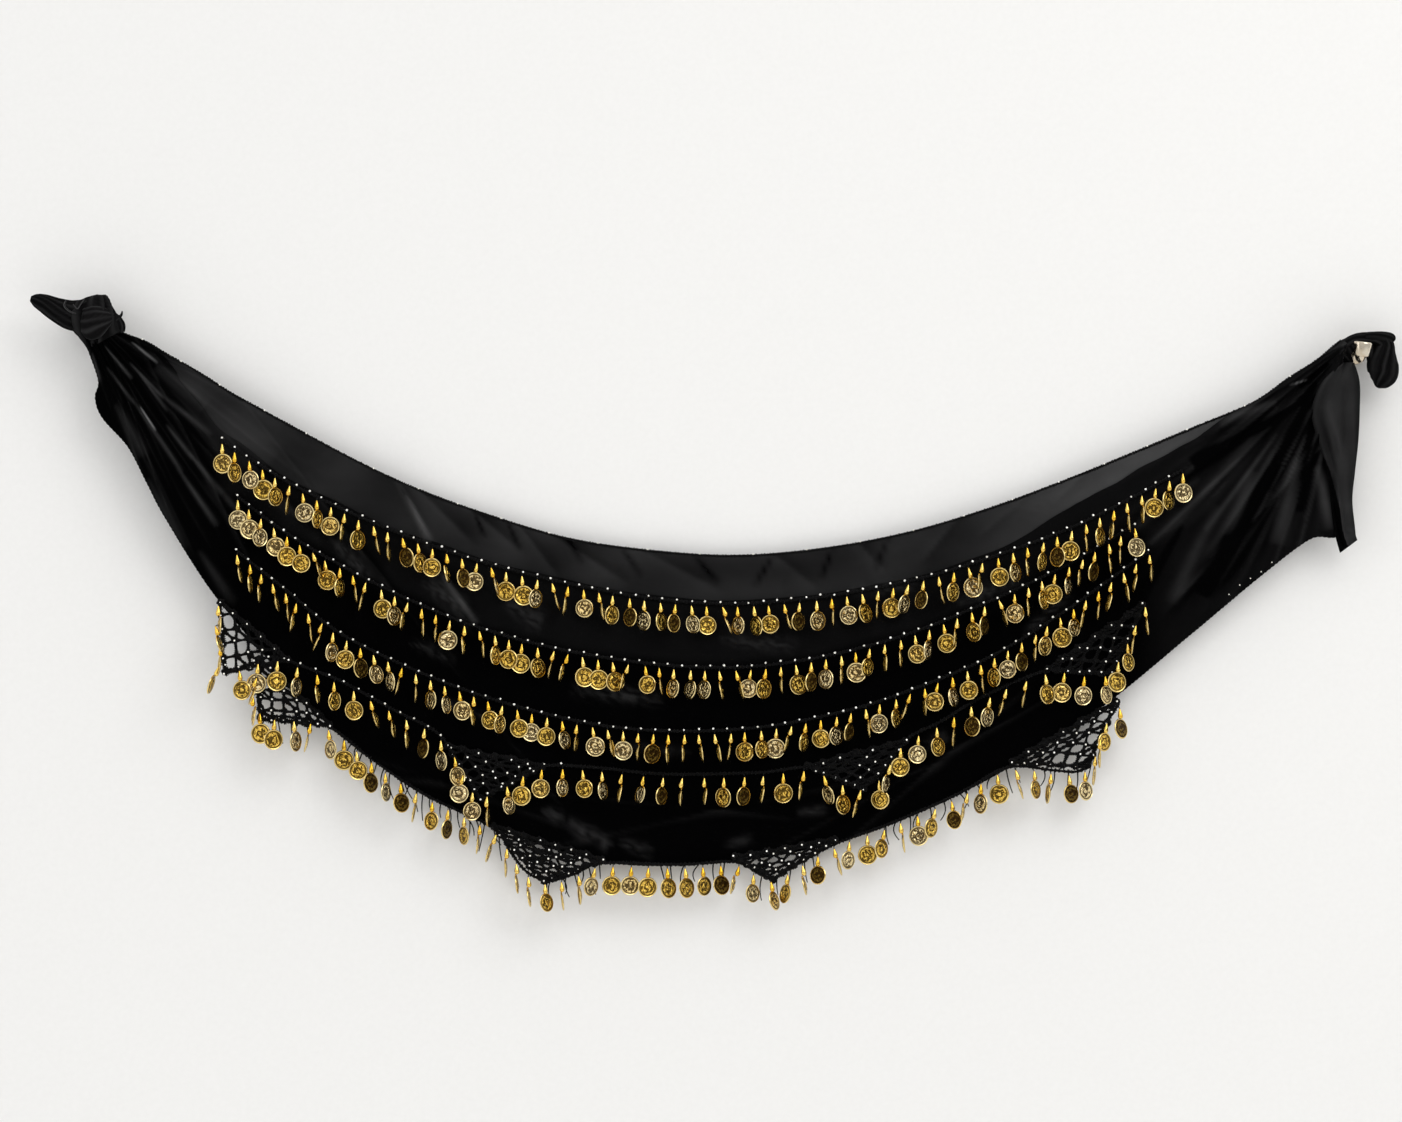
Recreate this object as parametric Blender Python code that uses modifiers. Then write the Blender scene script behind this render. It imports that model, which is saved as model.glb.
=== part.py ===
"""A coin hip scarf of thin black cloth, hung like a garland between two wall hooks.

Metres, Z up. The wall is the plane Y = 0, the scarf hangs on its -Y side and X runs along the wall.
The origin is the centre of the right hook's back plate. Tables are in millimetres.
"""

import math
from collections import namedtuple

import bmesh
import bpy
from mathutils import Vector
from mathutils.kdtree import KDTree

MM = 0.001
SHARP_ANGLE = 50.0

# Cloth
CLOTH_THICKNESS = 2.0
SECOND_LAYER = 0.9
SECOND_LAYER_RAMP = 8.0
COLUMNS_PER_SECTION = 2
CLOTH_ROWS = 18

# Crochet and coins
COIN_DIAMETER = 15.0
COIN_THICKNESS = 1.3
CHAIN_WIDTH = 2.4
CHAIN_THICKNESS = 1.2
DROP_LENGTH = 7.0
DROP_WIDTH = 2.4
COIN_SIDE_GAP = 0.8
LEAST_PITCH_ACROSS = 3.4
LEAST_RUN_ACROSS = 0.2
STRAIGHT_ENOUGH = 0.995
STEPS_PER_LINE_POINT = 12
MOST_TURN = 85.0
TURN_STEP = 0.6180339
TURN_SWAY = 0.23
TURN_SWAY_RATE = 1.7
NET_THICKNESS = 1.0
NET_STRAND = 1.5
EDGING_RADIUS = 1.2
SEAM_GAP = 0.4

# Layers in front of the cloth: distance from the cloth to the back of each
NET_LAYER = 0.4
CHAIN_LAYER = 0.6
CHAIN_OVER_NET_LAYER = NET_LAYER + NET_THICKNESS + 0.85
ROW_4_LAYER = CHAIN_OVER_NET_LAYER + 0.25
COIN_CLEARANCE = 2.3
COIN_OVER_TRIM_CLEARANCE = 4.2
TRIM_REACH = 6.0

# Wall hooks
HOOK_SHAFT_RADIUS = 3.5
HOOK_CAP_RADIUS = 6.3
HOOK_PLATE_RADIUS = 10.0
HOOK_PLATE_THICKNESS = 3.0
HOOK_CAP_LENGTH = 6.0
HOOK_CAP_RIM = 1.0
HOOK_CAP_CHAMFER = 0.6
HOOK_PLATE_CHAMFER = 1.0
HOOK_FILLET = 0.8
HOOK_SIDES = 16
LEFT_HOOK_LENGTH = 21.0
LEFT_HOOK_X = -945.0
LEFT_HOOK_Z = 23.0
TURNING_STEPS = 12

# One row for each section across the scarf, from the left knot to the right hook: a point on the upper
# side of the edging and the point on the side or hem that lies across from it.
Section = namedtuple("Section", "top_x top_z hem_x hem_z")
SECTIONS = [
    Section(-925, 14, -950, 0),
    Section(-907, 7, -942.5, -23),
    Section(-892, -2, -945, -36),
    Section(-876, -11, -939.5, -51),
    Section(-861, -20, -920, -73),
    Section(-844, -31, -906, -100),
    Section(-824, -42, -893, -125),
    Section(-784, -64, -860, -178),
    Section(-742, -86, -821, -226),
    Section(-700, -105, -773, -279),
    Section(-650, -123, -709, -325),
    Section(-592, -140, -639, -361),
    Section(-532, -149, -562, -382),
    Section(-468, -153, -482, -383),
    Section(-403, -148, -400, -368),
    Section(-338, -136, -322, -341),
    Section(-277, -118, -251, -304),
    Section(-220, -97, -187, -264),
    Section(-166, -75, -125, -213),
    Section(-118, -55, -70, -167),
    Section(-78, -38, -35, -141),
    Section(-52, -20, -13, -136.5),
    Section(-33, -8, -4, -92),
    Section(-22, 1, -9, -28),
    Section(-17, 5, -12.5, -7),
]

# How far the front of the cloth stands off the wall.
StandOff = namedtuple("StandOff", "x depth")
STAND_OFF = [
    StandOff(-960, 29),
    StandOff(-900, 27),
    StandOff(-820, 21),
    StandOff(-700, 14),
    StandOff(-480, 10),
    StandOff(-250, 13),
    StandOff(-100, 18),
    StandOff(-12, 22),
]

# The largest folds: a ridge from start to end, with its half width at each end and its height.
Fold = namedtuple("Fold", "start_x start_z end_x end_z start_width end_width height")
FOLDS = [
    Fold(-934, 12, -790, -84, 2.0, 11.0, 3.0),
    Fold(-936, 10, -800, -120, 2.2, 10.0, 4.0),
    Fold(-939, 8, -832, -150, 2.0, 10.0, 3.6),
    Fold(-942, 6, -846, -182, 2.0, 9.0, 4.2),
    Fold(-945, 4, -872, -172, 2.0, 7.0, 3.4),
    Fold(-948, 2, -900, -122, 2.0, 6.0, 3.0),
    Fold(-715, -110, -655, -232, 9.0, 15.0, 3.0),
    Fold(-560, -225, -430, -300, 18.0, 14.0, 2.5),
    Fold(-640, -300, -520, -350, 14.0, 18.0, 2.0),
    Fold(-330, -290, -180, -215, 14.0, 16.0, 2.5),
    Fold(-17, 1, -128, -62, 2.0, 9.0, 3.4),
    Fold(-16, 0, -150, -112, 2.0, 10.0, 4.0),
    Fold(-15, -2, -142, -166, 2.0, 11.0, 3.6),
    Fold(-14, -4, -98, -178, 2.0, 9.0, 4.2),
    Fold(-13, -6, -52, -148, 2.2, 8.0, 3.6),
    Fold(-12, -8, -18, -130, 2.2, 7.0, 3.0),
]
FOLD_FADE_START = 0.55

# Below this line two layers of cloth lie on each other.
LayerEdge = namedtuple("LayerEdge", "x z")
LAYER_EDGE = [
    LayerEdge(-870, -50),
    LayerEdge(-792, -102),
    LayerEdge(-711, -138),
    LayerEdge(-629, -164),
    LayerEdge(-476, -188),
    LayerEdge(-335, -171),
    LayerEdge(-262, -148),
    LayerEdge(-188, -103),
    LayerEdge(-125, -68),
    LayerEdge(-80, -44),
]

# The lines of the coin rows.
LinePoint = namedtuple("LinePoint", "x z")
ROW_1 = [
    LinePoint(-850, -68),
    LinePoint(-792, -104),
    LinePoint(-711, -140),
    LinePoint(-629, -166),
    LinePoint(-543, -184),
    LinePoint(-476, -190),
    LinePoint(-410, -186),
    LinePoint(-335, -173),
    LinePoint(-265, -152),
    LinePoint(-203, -128),
    LinePoint(-131, -90),
]
ROW_2 = [
    LinePoint(-839, -110),
    LinePoint(-795, -142),
    LinePoint(-724, -181),
    LinePoint(-649, -211),
    LinePoint(-567, -230),
    LinePoint(-486, -238),
    LinePoint(-418, -233),
    LinePoint(-343, -215),
    LinePoint(-275, -188),
    LinePoint(-218, -161),
    LinePoint(-167, -131),
]
ROW_3 = [
    LinePoint(-839, -151),
    LinePoint(-804, -179),
    LinePoint(-758, -215),
    LinePoint(-677, -252),
    LinePoint(-599, -275),
    LinePoint(-534, -285),
    LinePoint(-458, -284),
    LinePoint(-393, -273),
    LinePoint(-343, -258),
    LinePoint(-275, -230),
    LinePoint(-215, -193),
    LinePoint(-157, -151),
]
ROW_4 = [
    LinePoint(-852, -189),
    LinePoint(-851, -215),
    LinePoint(-848, -238),
    LinePoint(-832, -236),
    LinePoint(-812, -230),
    LinePoint(-782, -240),
    LinePoint(-758, -250),
    LinePoint(-722, -270),
    LinePoint(-694, -284),
    LinePoint(-681, -298),
    LinePoint(-667, -324),
    LinePoint(-657, -334),
    LinePoint(-637, -324),
    LinePoint(-612, -312),
    LinePoint(-572, -313),
    LinePoint(-520, -318),
    LinePoint(-449, -317),
    LinePoint(-411, -313),
    LinePoint(-388, -323),
    LinePoint(-371, -327),
    LinePoint(-356, -317),
    LinePoint(-338, -292),
    LinePoint(-313, -279),
    LinePoint(-281, -260),
    LinePoint(-232, -240),
    LinePoint(-204, -242),
    LinePoint(-186, -240),
    LinePoint(-172, -216),
    LinePoint(-160, -190),
]
HEM_ROW = [
    LinePoint(-824, -243),
    LinePoint(-824, -262),
    LinePoint(-819, -273),
    LinePoint(-800, -275),
    LinePoint(-773, -281),
    LinePoint(-741, -305),
    LinePoint(-700, -333),
    LinePoint(-649, -358),
    LinePoint(-634, -378),
    LinePoint(-622, -392),
    LinePoint(-606, -398),
    LinePoint(-587, -393),
    LinePoint(-566, -385),
    LinePoint(-508, -386),
    LinePoint(-466, -384),
    LinePoint(-450, -392),
    LinePoint(-438, -396),
    LinePoint(-420, -386),
    LinePoint(-390, -370),
    LinePoint(-349, -355),
    LinePoint(-299, -333),
    LinePoint(-262, -313),
    LinePoint(-228, -315),
    LinePoint(-210, -316),
    LinePoint(-200, -309),
    LinePoint(-191, -285),
    LinePoint(-179, -266),
]

# The crocheted net triangles: two corners on the cloth, the apex that hangs, and the rows of mesh.
Net = namedtuple("Net", "name left_x left_z right_x right_z apex_x apex_z mesh_rows")
NETS = [
    Net("net_row4_1", -852, -188, -801, -232, -849, -241, 4),
    Net("net_row4_2", -683, -297, -610, -312, -657, -336, 4),
    Net("net_row4_3", -413, -312, -338, -293, -370, -329, 4),
    Net("net_row4_4", -233, -239, -160, -190, -184, -242, 5),
    Net("net_hem_1", -822, -244, -772, -281, -821, -276, 4),
    Net("net_hem_2", -648, -357, -566, -382, -610, -399, 5),
    Net("net_hem_3", -467, -380, -391, -367, -438, -397, 4),
    Net("net_hem_4", -259, -309, -180, -263, -202, -312, 5),
]

# Half of a coin's rim, from its top down: shares of its half width across and of its height down.
RimPoint = namedtuple("RimPoint", "across down")
WIDE_COIN_RIM = [
    RimPoint(0.9, 0.25),
    RimPoint(0.9, 0.75),
    RimPoint(0.0, 1.0),
]
NARROW_COIN_RIM = [
    RimPoint(0.9, 0.4),
    RimPoint(0.0, 1.0),
]

# The coin rows: the line of each, the pitch of its coins, and how far its chain and coins clear the cloth.
CoinRow = namedtuple("CoinRow", "name line pitch chain_layer coin_clearance")
COIN_ROWS = [
    CoinRow("coins_row_1", ROW_1, 14.5, CHAIN_LAYER, COIN_CLEARANCE),
    CoinRow("coins_row_2", ROW_2, 14.5, CHAIN_LAYER, COIN_CLEARANCE),
    CoinRow("coins_row_3", ROW_3, 14.0, CHAIN_LAYER, COIN_CLEARANCE),
    CoinRow("coins_row_4", ROW_4, 16.5, ROW_4_LAYER, COIN_OVER_TRIM_CLEARANCE),
    CoinRow("coins_hem", HEM_ROW, 15.5, CHAIN_OVER_NET_LAYER, COIN_CLEARANCE),
]

# Gathered stretches past the panel: centre, half size across and half depth.
Bunch = namedtuple("Bunch", "x y z half_width half_depth")
LEFT_KNOT = [
    Bunch(-955.5, -31.0, 39.5, 4.0, 3.5),
    Bunch(-953.2, -31.5, 35.5, 10.5, 7.0),
    Bunch(-950.5, -32.0, 30.6, 15.0, 9.5),
    Bunch(-946.5, -32.5, 23.4, 17.5, 10.8),
    Bunch(-943.4, -32.0, 17.8, 17.0, 10.0),
    Bunch(-940.4, -31.0, 12.3, 15.2, 8.2),
    Bunch(-937.8, -30.5, 7.6, 14.6, 7.4),
]
LEFT_TAIL = [
    Bunch(-993.2, -35.0, 38.0, 1.8, 2.0),
    Bunch(-989.5, -34.5, 37.0, 4.6, 4.0),
    Bunch(-983.0, -34.0, 34.5, 6.6, 5.2),
    Bunch(-974.0, -33.0, 30.0, 8.6, 6.2),
    Bunch(-966.2, -32.0, 25.5, 8.8, 6.4),
]
RIGHT_TAIL = [
    Bunch(-14.2, -21.5, -2.2, 5.2, 4.6),
    Bunch(-9.5, -21.5, 2.6, 4.6, 4.8),
    Bunch(-4.0, -21.5, 6.9, 3.9, 5.0),
    Bunch(1.5, -21.5, 8.3, 4.3, 5.2),
    Bunch(8.5, -22.0, 8.8, 4.5, 5.6),
    Bunch(15.5, -22.5, 8.2, 5.4, 6.8),
    Bunch(20.2, -22.5, 4.6, 6.8, 7.6),
    Bunch(19.6, -22.5, -2.4, 9.0, 8.2),
    Bunch(18.8, -22.5, -10.0, 11.2, 8.4),
    Bunch(19.2, -22.5, -17.5, 10.8, 8.0),
    Bunch(17.4, -22.5, -23.4, 8.0, 6.4),
    Bunch(15.6, -22.5, -26.8, 3.6, 4.0),
]

# The right hook, from its back plate along its arm to the top of its knob.
HookRing = namedtuple("HookRing", "x y z half_width half_depth")
RIGHT_HOOK = [
    HookRing(0, 0, 0, HOOK_PLATE_RADIUS, HOOK_PLATE_RADIUS),
    HookRing(0, -2, 0, HOOK_PLATE_RADIUS, HOOK_PLATE_RADIUS),
    HookRing(0, -3, 0, 9, 9),
    HookRing(0, -3.2, 0, 4.3, 4.3),
    HookRing(0, -4, 0, HOOK_SHAFT_RADIUS, HOOK_SHAFT_RADIUS),
    HookRing(0, -22, 0, HOOK_SHAFT_RADIUS, HOOK_SHAFT_RADIUS),
    HookRing(0, -26, -1, 3.3, 3.3),
    HookRing(0, -29.5, -3.6, 3.0, 3.0),
    HookRing(0.2, -33, -6.4, 2.7, 2.7),
    HookRing(0.6, -36.8, -7.6, 2.4, 2.4),
    HookRing(1.0, -39.6, -7.2, 2.3, 2.3),
    HookRing(1.25, -41, -5.6, 2.2, 2.2),
    HookRing(1.35, -41.2, -4.6, 5.2, 4.2),
    HookRing(2.2, -41.2, 4.2, 6.9, 5.2),
    HookRing(2.3, -41.2, 5.4, 6.3, 4.6),
]

BUNCH_SIDES = 15
BUNCH_PLEATS = 5
PLEAT_DEPTH = 0.07
KNOT_LOOP_RADIUS = 9.2
KNOT_LOOP_THICKNESS = 4.8
KNOT_LOOP_DEPTH = 11.0
KNOT_LOOP_SEGMENTS = 16

# The flap beside the right hook, row by row from its top: its two edges and how far its fold swells.
FlapRow = namedtuple("FlapRow", "z left_x right_x swell")
FLAP = [
    FlapRow(-9.5, -11.5, -2.5, 1.0),
    FlapRow(-24, -27, 2, 3.0),
    FlapRow(-46, -33, 2.5, 5.0),
    FlapRow(-68, -28, 1.5, 5.0),
    FlapRow(-91, -20, 1, 4.5),
    FlapRow(-112, -15, -2, 3.5),
    FlapRow(-133, -12, 0, 3.0),
    FlapRow(-145, -11, 1, 2.5),
    FlapRow(-151, -11, -6, 1.5),
]
FLAP_ROWS_PER_TABLE_ROW = 2
FLAP_COLUMNS = 6
FLAP_GAP = 0.7


def smooth_row(rows, at):
    """A row of a table at a fractional row number, on a smooth curve through its rows."""
    last = len(rows) - 1
    first = min(int(at), last - 1)
    t = at - first
    before = rows[max(first - 1, 0)]
    after = rows[min(first + 2, last)]
    values = []
    for a, b, c, d in zip(before, rows[first], rows[first + 1], after):
        bend = (2 * a - 5 * b + 4 * c - d) * t * t + (3 * b - a - 3 * c + d) * t**3
        values.append(0.5 * (2 * b + (c - a) * t + bend))
    return type(rows[first])(*values)


def smooth_between(rows, x):
    """The second column of a two-column table at x, eased from row to row."""
    if x <= rows[0][0]:
        return rows[0][1]
    for low, high in zip(rows, rows[1:]):
        if x <= high[0]:
            return low[1] + (high[1] - low[1]) * ease((x - low[0]) / (high[0] - low[0]), 0.5)
    return rows[-1][1]


def ease(t, softness=1.0):
    """0 to 1, softened at both ends; softness 0 is a straight ramp."""
    t = min(max(t, 0.0), 1.0)
    return t + softness * (t * t * (3 - 2 * t) - t)


def fold_height(fold, x, z):
    """Height of one fold at a point of the cloth."""
    run_x = fold.end_x - fold.start_x
    run_z = fold.end_z - fold.start_z
    length = math.hypot(run_x, run_z)
    off_x = x - fold.start_x
    off_z = z - fold.start_z
    along = min(max((off_x * run_x + off_z * run_z) / length**2, 0.0), 1.0)
    aside = (off_x * run_z - off_z * run_x) / length
    half_width = fold.start_width + (fold.end_width - fold.start_width) * along
    fade = 1 - ease((along - FOLD_FADE_START) / (1 - FOLD_FADE_START))
    return fold.height * fade * math.exp(-((aside / half_width) ** 2))


def cloth_depth(x, z):
    """Distance from the wall to the front of the first layer of cloth."""
    return smooth_between(STAND_OFF, x) + sum(fold_height(fold, x, z) for fold in FOLDS)


def second_layer(x, z):
    """Extra thickness below the line where the cloth is doubled."""
    below = smooth_between(LAYER_EDGE, x) - z
    beyond = max(x - LAYER_EDGE[-1].x, LAYER_EDGE[0].x - x, 0.0)
    return SECOND_LAYER * ease(below / SECOND_LAYER_RAMP) * (1 - ease(beyond / SECOND_LAYER_RAMP))


def front_of_cloth(x, z):
    """Distance from the wall that clears the cloth all round a point."""
    steps = (-TRIM_REACH, 0.0, TRIM_REACH)
    return max(cloth_depth(x + a, z + b) + second_layer(x + a, z + b) for a in steps for b in steps)


def metres(x, y, z):
    return Vector((x * MM, y * MM, z * MM))


def make_material(name, colour, roughness, metallic=0.0):
    material = bpy.data.materials.new(name)
    material.use_nodes = True
    shader = material.node_tree.nodes["Principled BSDF"]
    shader.inputs["Base Color"].default_value = (*colour, 1.0)
    shader.inputs["Roughness"].default_value = roughness
    shader.inputs["Metallic"].default_value = metallic
    return material


def add_object(name, data, material):
    thing = bpy.data.objects.new(name, data)
    data.materials.clear()
    data.materials.append(material)
    scarf_collection.objects.link(thing)
    return thing


def add_mesh(name, bm, material):
    bmesh.ops.recalc_face_normals(bm, faces=bm.faces[:])
    mesh = bpy.data.meshes.new(name)
    bm.to_mesh(mesh)
    bm.free()
    mesh.shade_smooth()
    mesh.set_sharp_from_angle(angle=math.radians(SHARP_ANGLE))
    return add_object(name, mesh, material)


def wall_from_grids(name, front, back, material):
    """A closed wall between two grids of points of one size."""
    bm = bmesh.new()
    skins = []
    for grid in (front, back):
        skins.append([[bm.verts.new(point) for point in line] for line in grid])
    columns = len(front)
    rows = len(front[0])
    for skin in skins:
        for i in range(columns - 1):
            for j in range(rows - 1):
                bm.faces.new((skin[i][j], skin[i + 1][j], skin[i + 1][j + 1], skin[i][j + 1]))
    rim = [(i, 0) for i in range(columns)]
    rim += [(columns - 1, j) for j in range(1, rows)]
    rim += [(i, rows - 1) for i in range(columns - 2, -1, -1)]
    rim += [(0, j) for j in range(rows - 2, 0, -1)]
    for (a, b), (c, d) in zip(rim, rim[1:] + rim[:1]):
        bm.faces.new((skins[0][a][b], skins[0][c][d], skins[1][c][d], skins[1][a][b]))
    return add_mesh(name, bm, material)


def below_top(at, distance):
    """The point that lies a distance below the top outline, square to it."""
    section = smooth_row(SECTIONS, at)
    ahead = smooth_row(SECTIONS, min(at + 0.1, len(SECTIONS) - 1))
    behind = smooth_row(SECTIONS, max(at - 0.1, 0))
    run = Vector((ahead.top_x - behind.top_x, ahead.top_z - behind.top_z)).normalized()
    return Vector((section.top_x + run.y * distance, section.top_z - run.x * distance))


def panel_line(at):
    """Points of one line across the panel, from below its edging to the hem, in table units."""
    section = smooth_row(SECTIONS, at)
    top = below_top(at, 2 * EDGING_RADIUS + SEAM_GAP)
    hem = Vector((section.hem_x, section.hem_z))
    return [top.lerp(hem, j / CLOTH_ROWS) for j in range(CLOTH_ROWS + 1)]


def panel_stations():
    count = (len(SECTIONS) - 1) * COLUMNS_PER_SECTION
    return [i / COLUMNS_PER_SECTION for i in range(count + 1)]


def make_panel(material):
    front = []
    back = []
    for at in panel_stations():
        line = panel_line(at)
        front.append([metres(x, -cloth_depth(x, z) - second_layer(x, z), z) for x, z in line])
        back.append([metres(x, CLOTH_THICKNESS - cloth_depth(x, z), z) for x, z in line])
    return wall_from_grids("scarf_panel", front, back, material)


def make_edging(material):
    """The crocheted roll, a tube that follows the panel's top edge just above it."""
    points = []
    for at in panel_stations()[1:-1]:
        centre = below_top(at, EDGING_RADIUS)
        edge = below_top(at, 2 * EDGING_RADIUS + SEAM_GAP)
        depth = cloth_depth(edge.x, edge.y) - CLOTH_THICKNESS / 2
        points.append(metres(centre.x, -depth, centre.y))
    curve = bpy.data.curves.new("top_edging", "CURVE")
    curve.dimensions = "3D"
    curve.bevel_depth = EDGING_RADIUS * MM
    curve.bevel_resolution = 0
    curve.use_fill_caps = True
    spline = curve.splines.new("POLY")
    spline.points.add(len(points) - 1)
    for target, point in zip(spline.points, points):
        target.co = (*point, 1.0)
    return add_object("top_edging", curve, material)


def flat_solid(name, outline, holes, thickness, material):
    """A flat outline with holes, drawn in the X and Z of the scarf and filled to a closed solid."""
    curve = bpy.data.curves.new(name + "_outline", "CURVE")
    curve.dimensions = "2D"
    curve.fill_mode = "BOTH"
    curve.extrude = thickness * MM / 2
    for loop in [outline] + holes:
        spline = curve.splines.new("POLY")
        spline.points.add(len(loop) - 1)
        for target, (x, z) in zip(spline.points, loop):
            target.co = (x * MM, z * MM, 0.0, 1.0)
        spline.use_cyclic_u = True
    drawn = bpy.data.objects.new(name + "_outline", curve)
    drawn.rotation_euler = (math.radians(90), 0, 0)
    scarf_collection.objects.link(drawn)
    bpy.context.view_layer.update()
    evaluated = drawn.evaluated_get(bpy.context.evaluated_depsgraph_get())
    mesh = bpy.data.meshes.new_from_object(evaluated)
    mesh.transform(drawn.matrix_world)
    bpy.data.objects.remove(drawn)
    bpy.data.curves.remove(curve)
    bm = bmesh.new()
    bm.from_mesh(mesh)
    bpy.data.meshes.remove(mesh)
    bmesh.ops.remove_doubles(bm, verts=bm.verts[:], dist=1e-6)
    return add_mesh(name, bm, material)


def walk(line, pitch):
    """Points at a steady pitch along a smooth line, each with the line's direction there."""
    dense = []
    for i in range((len(line) - 1) * STEPS_PER_LINE_POINT + 1):
        point = smooth_row(line, i / STEPS_PER_LINE_POINT)
        dense.append(Vector((point.x, point.z)))
    lengths = [0.0]
    for a, b in zip(dense, dense[1:]):
        lengths.append(lengths[-1] + (b - a).length)
    count = max(round(lengths[-1] / pitch), 1)
    stops = []
    k = 0
    for i in range(count + 1):
        wanted = lengths[-1] * i / count
        while k < len(dense) - 2 and lengths[k + 1] < wanted:
            k += 1
        share = (wanted - lengths[k]) / (lengths[k + 1] - lengths[k])
        stops.append((dense[k].lerp(dense[k + 1], share), (dense[k + 1] - dense[k]).normalized()))
    return stops


def bends(stops, number):
    """Whether a line turns noticeably at one of its inner stops."""
    return stops[number - 1][1].dot(stops[number + 1][1]) < STRAIGHT_ENOUGH


Pendant = namedtuple("Pendant", "x root_z width turn")
OutlinePoint = namedtuple("OutlinePoint", "x z pendant across")


def wanted_turn(number):
    """The angle that a coin has turned on its thread, by its number in the row: 0 is face on."""
    share = (number * TURN_STEP + TURN_SWAY * math.sin(number * TURN_SWAY_RATE)) % 1.0
    return math.radians(share * MOST_TURN)


def place_pendants(stops):
    """A pendant at each stitch of a row, turned enough to clear the one before it."""
    pendants = {}
    last_x = -math.inf
    last_width = 0.0
    for number, (point, run) in enumerate(stops):
        if number in (0, len(stops) - 1):
            continue
        pitch_across = abs(stops[number + 1][0].x - stops[number - 1][0].x) / 2
        room_before = 2 * (point.x - last_x - COIN_SIDE_GAP) - last_width
        room = min(room_before, 2 * pitch_across - COIN_SIDE_GAP - DROP_WIDTH)
        if run.x < LEAST_RUN_ACROSS or pitch_across < LEAST_PITCH_ACROSS or room < DROP_WIDTH:
            continue
        width = max(min(COIN_DIAMETER * math.cos(wanted_turn(number)), room), DROP_WIDTH)
        turn = math.acos(min(width / COIN_DIAMETER, 1.0)) * (1 if number % 2 else -1)
        pendants[number] = Pendant(point.x, point.y - CHAIN_WIDTH / 2, width, turn)
        last_x = point.x
        last_width = width
    return pendants


def pendant_outline(pendant, run):
    """The pendant's outline, from its left root to its right one; across is 1 at the coin's rim."""
    root = DROP_WIDTH / 2
    slope = run.y / run.x
    neck = root / (COIN_DIAMETER / 2)
    if pendant.width > COIN_DIAMETER / 2:
        shape = [RimPoint(neck, 0.0)] + WIDE_COIN_RIM
    else:
        shape = NARROW_COIN_RIM
    side = []
    for across, down in shape:
        side.append((across, pendant.root_z - DROP_LENGTH - COIN_DIAMETER * down))
    points = [OutlinePoint(pendant.x - root, pendant.root_z - slope * root, None, 0.0)]
    for across, z in side:
        points.append(OutlinePoint(pendant.x - across * pendant.width / 2, z, pendant, -across))
    for across, z in reversed(side):
        if across > 0:
            points.append(OutlinePoint(pendant.x + across * pendant.width / 2, z, pendant, across))
    points.append(OutlinePoint(pendant.x + root, pendant.root_z + slope * root, None, 0.0))
    return points


def make_coin_row(coin_row, material):
    """A crocheted chain with the coins that hang from it, as one solid."""
    stops = walk(coin_row.line, coin_row.pitch)
    pendants = place_pendants(stops)
    half = CHAIN_WIDTH / 2
    upper = []
    lower = []
    for number, (point, run) in enumerate(stops):
        if number % 2 == 0 or number == len(stops) - 1 or bends(stops, number):
            upper.append(OutlinePoint(point.x - run.y * half, point.y + run.x * half, None, 0.0))
        if number in pendants:
            lower += pendant_outline(pendants[number], run)
        else:
            lower.append(OutlinePoint(point.x + run.y * half, point.y - run.x * half, None, 0.0))
    outline = upper + lower[::-1]
    row = flat_solid(coin_row.name, [(p.x, p.z) for p in outline], [], CHAIN_THICKNESS, material)
    finder = KDTree(len(outline))
    for index, p in enumerate(outline):
        finder.insert(metres(p.x, 0, p.z), index)
    finder.balance()
    for vertex in row.data.vertices:
        side = -1 if vertex.co.y < 0 else 1
        place = outline[finder.find((vertex.co.x, 0, vertex.co.z))[1]]
        if place.pendant is None:
            depth = front_of_cloth(place.x, place.z) + coin_row.chain_layer + CHAIN_THICKNESS / 2
            vertex.co = metres(place.x, side * CHAIN_THICKNESS / 2 - depth, place.z)
            continue
        radius = COIN_DIAMETER / 2
        turn = place.pendant.turn
        lean = abs(math.sin(turn)) * radius
        clearance = coin_row.coin_clearance + COIN_THICKNESS / 2 + lean
        depth = front_of_cloth(place.pendant.x, place.z) + clearance
        across = place.across * radius
        off_x = across * math.cos(turn) - side * math.sin(turn) * COIN_THICKNESS / 2
        off_y = across * math.sin(turn) + side * math.cos(turn) * COIN_THICKNESS / 2
        vertex.co = metres(place.pendant.x + off_x, off_y - depth, place.z)
    return row


def inset(corners, margin):
    """A convex outline with each side moved inwards by the margin."""
    count = len(corners)
    centre = sum(corners, Vector((0, 0))) / count
    sides = []
    for a, b in zip(corners, corners[1:] + corners[:1]):
        along = (b - a).normalized()
        inward = Vector((-along.y, along.x))
        if inward.dot(centre - a) < 0:
            inward = -inward
        sides.append((a + inward * margin, along))
    moved = []
    for index in range(count):
        start, run = sides[index - 1]
        other, direction = sides[index]
        cross = run.x * direction.y - run.y * direction.x
        gap = other - start
        moved.append(start + run * ((gap.x * direction.y - gap.y * direction.x) / cross))
    return moved


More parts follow.
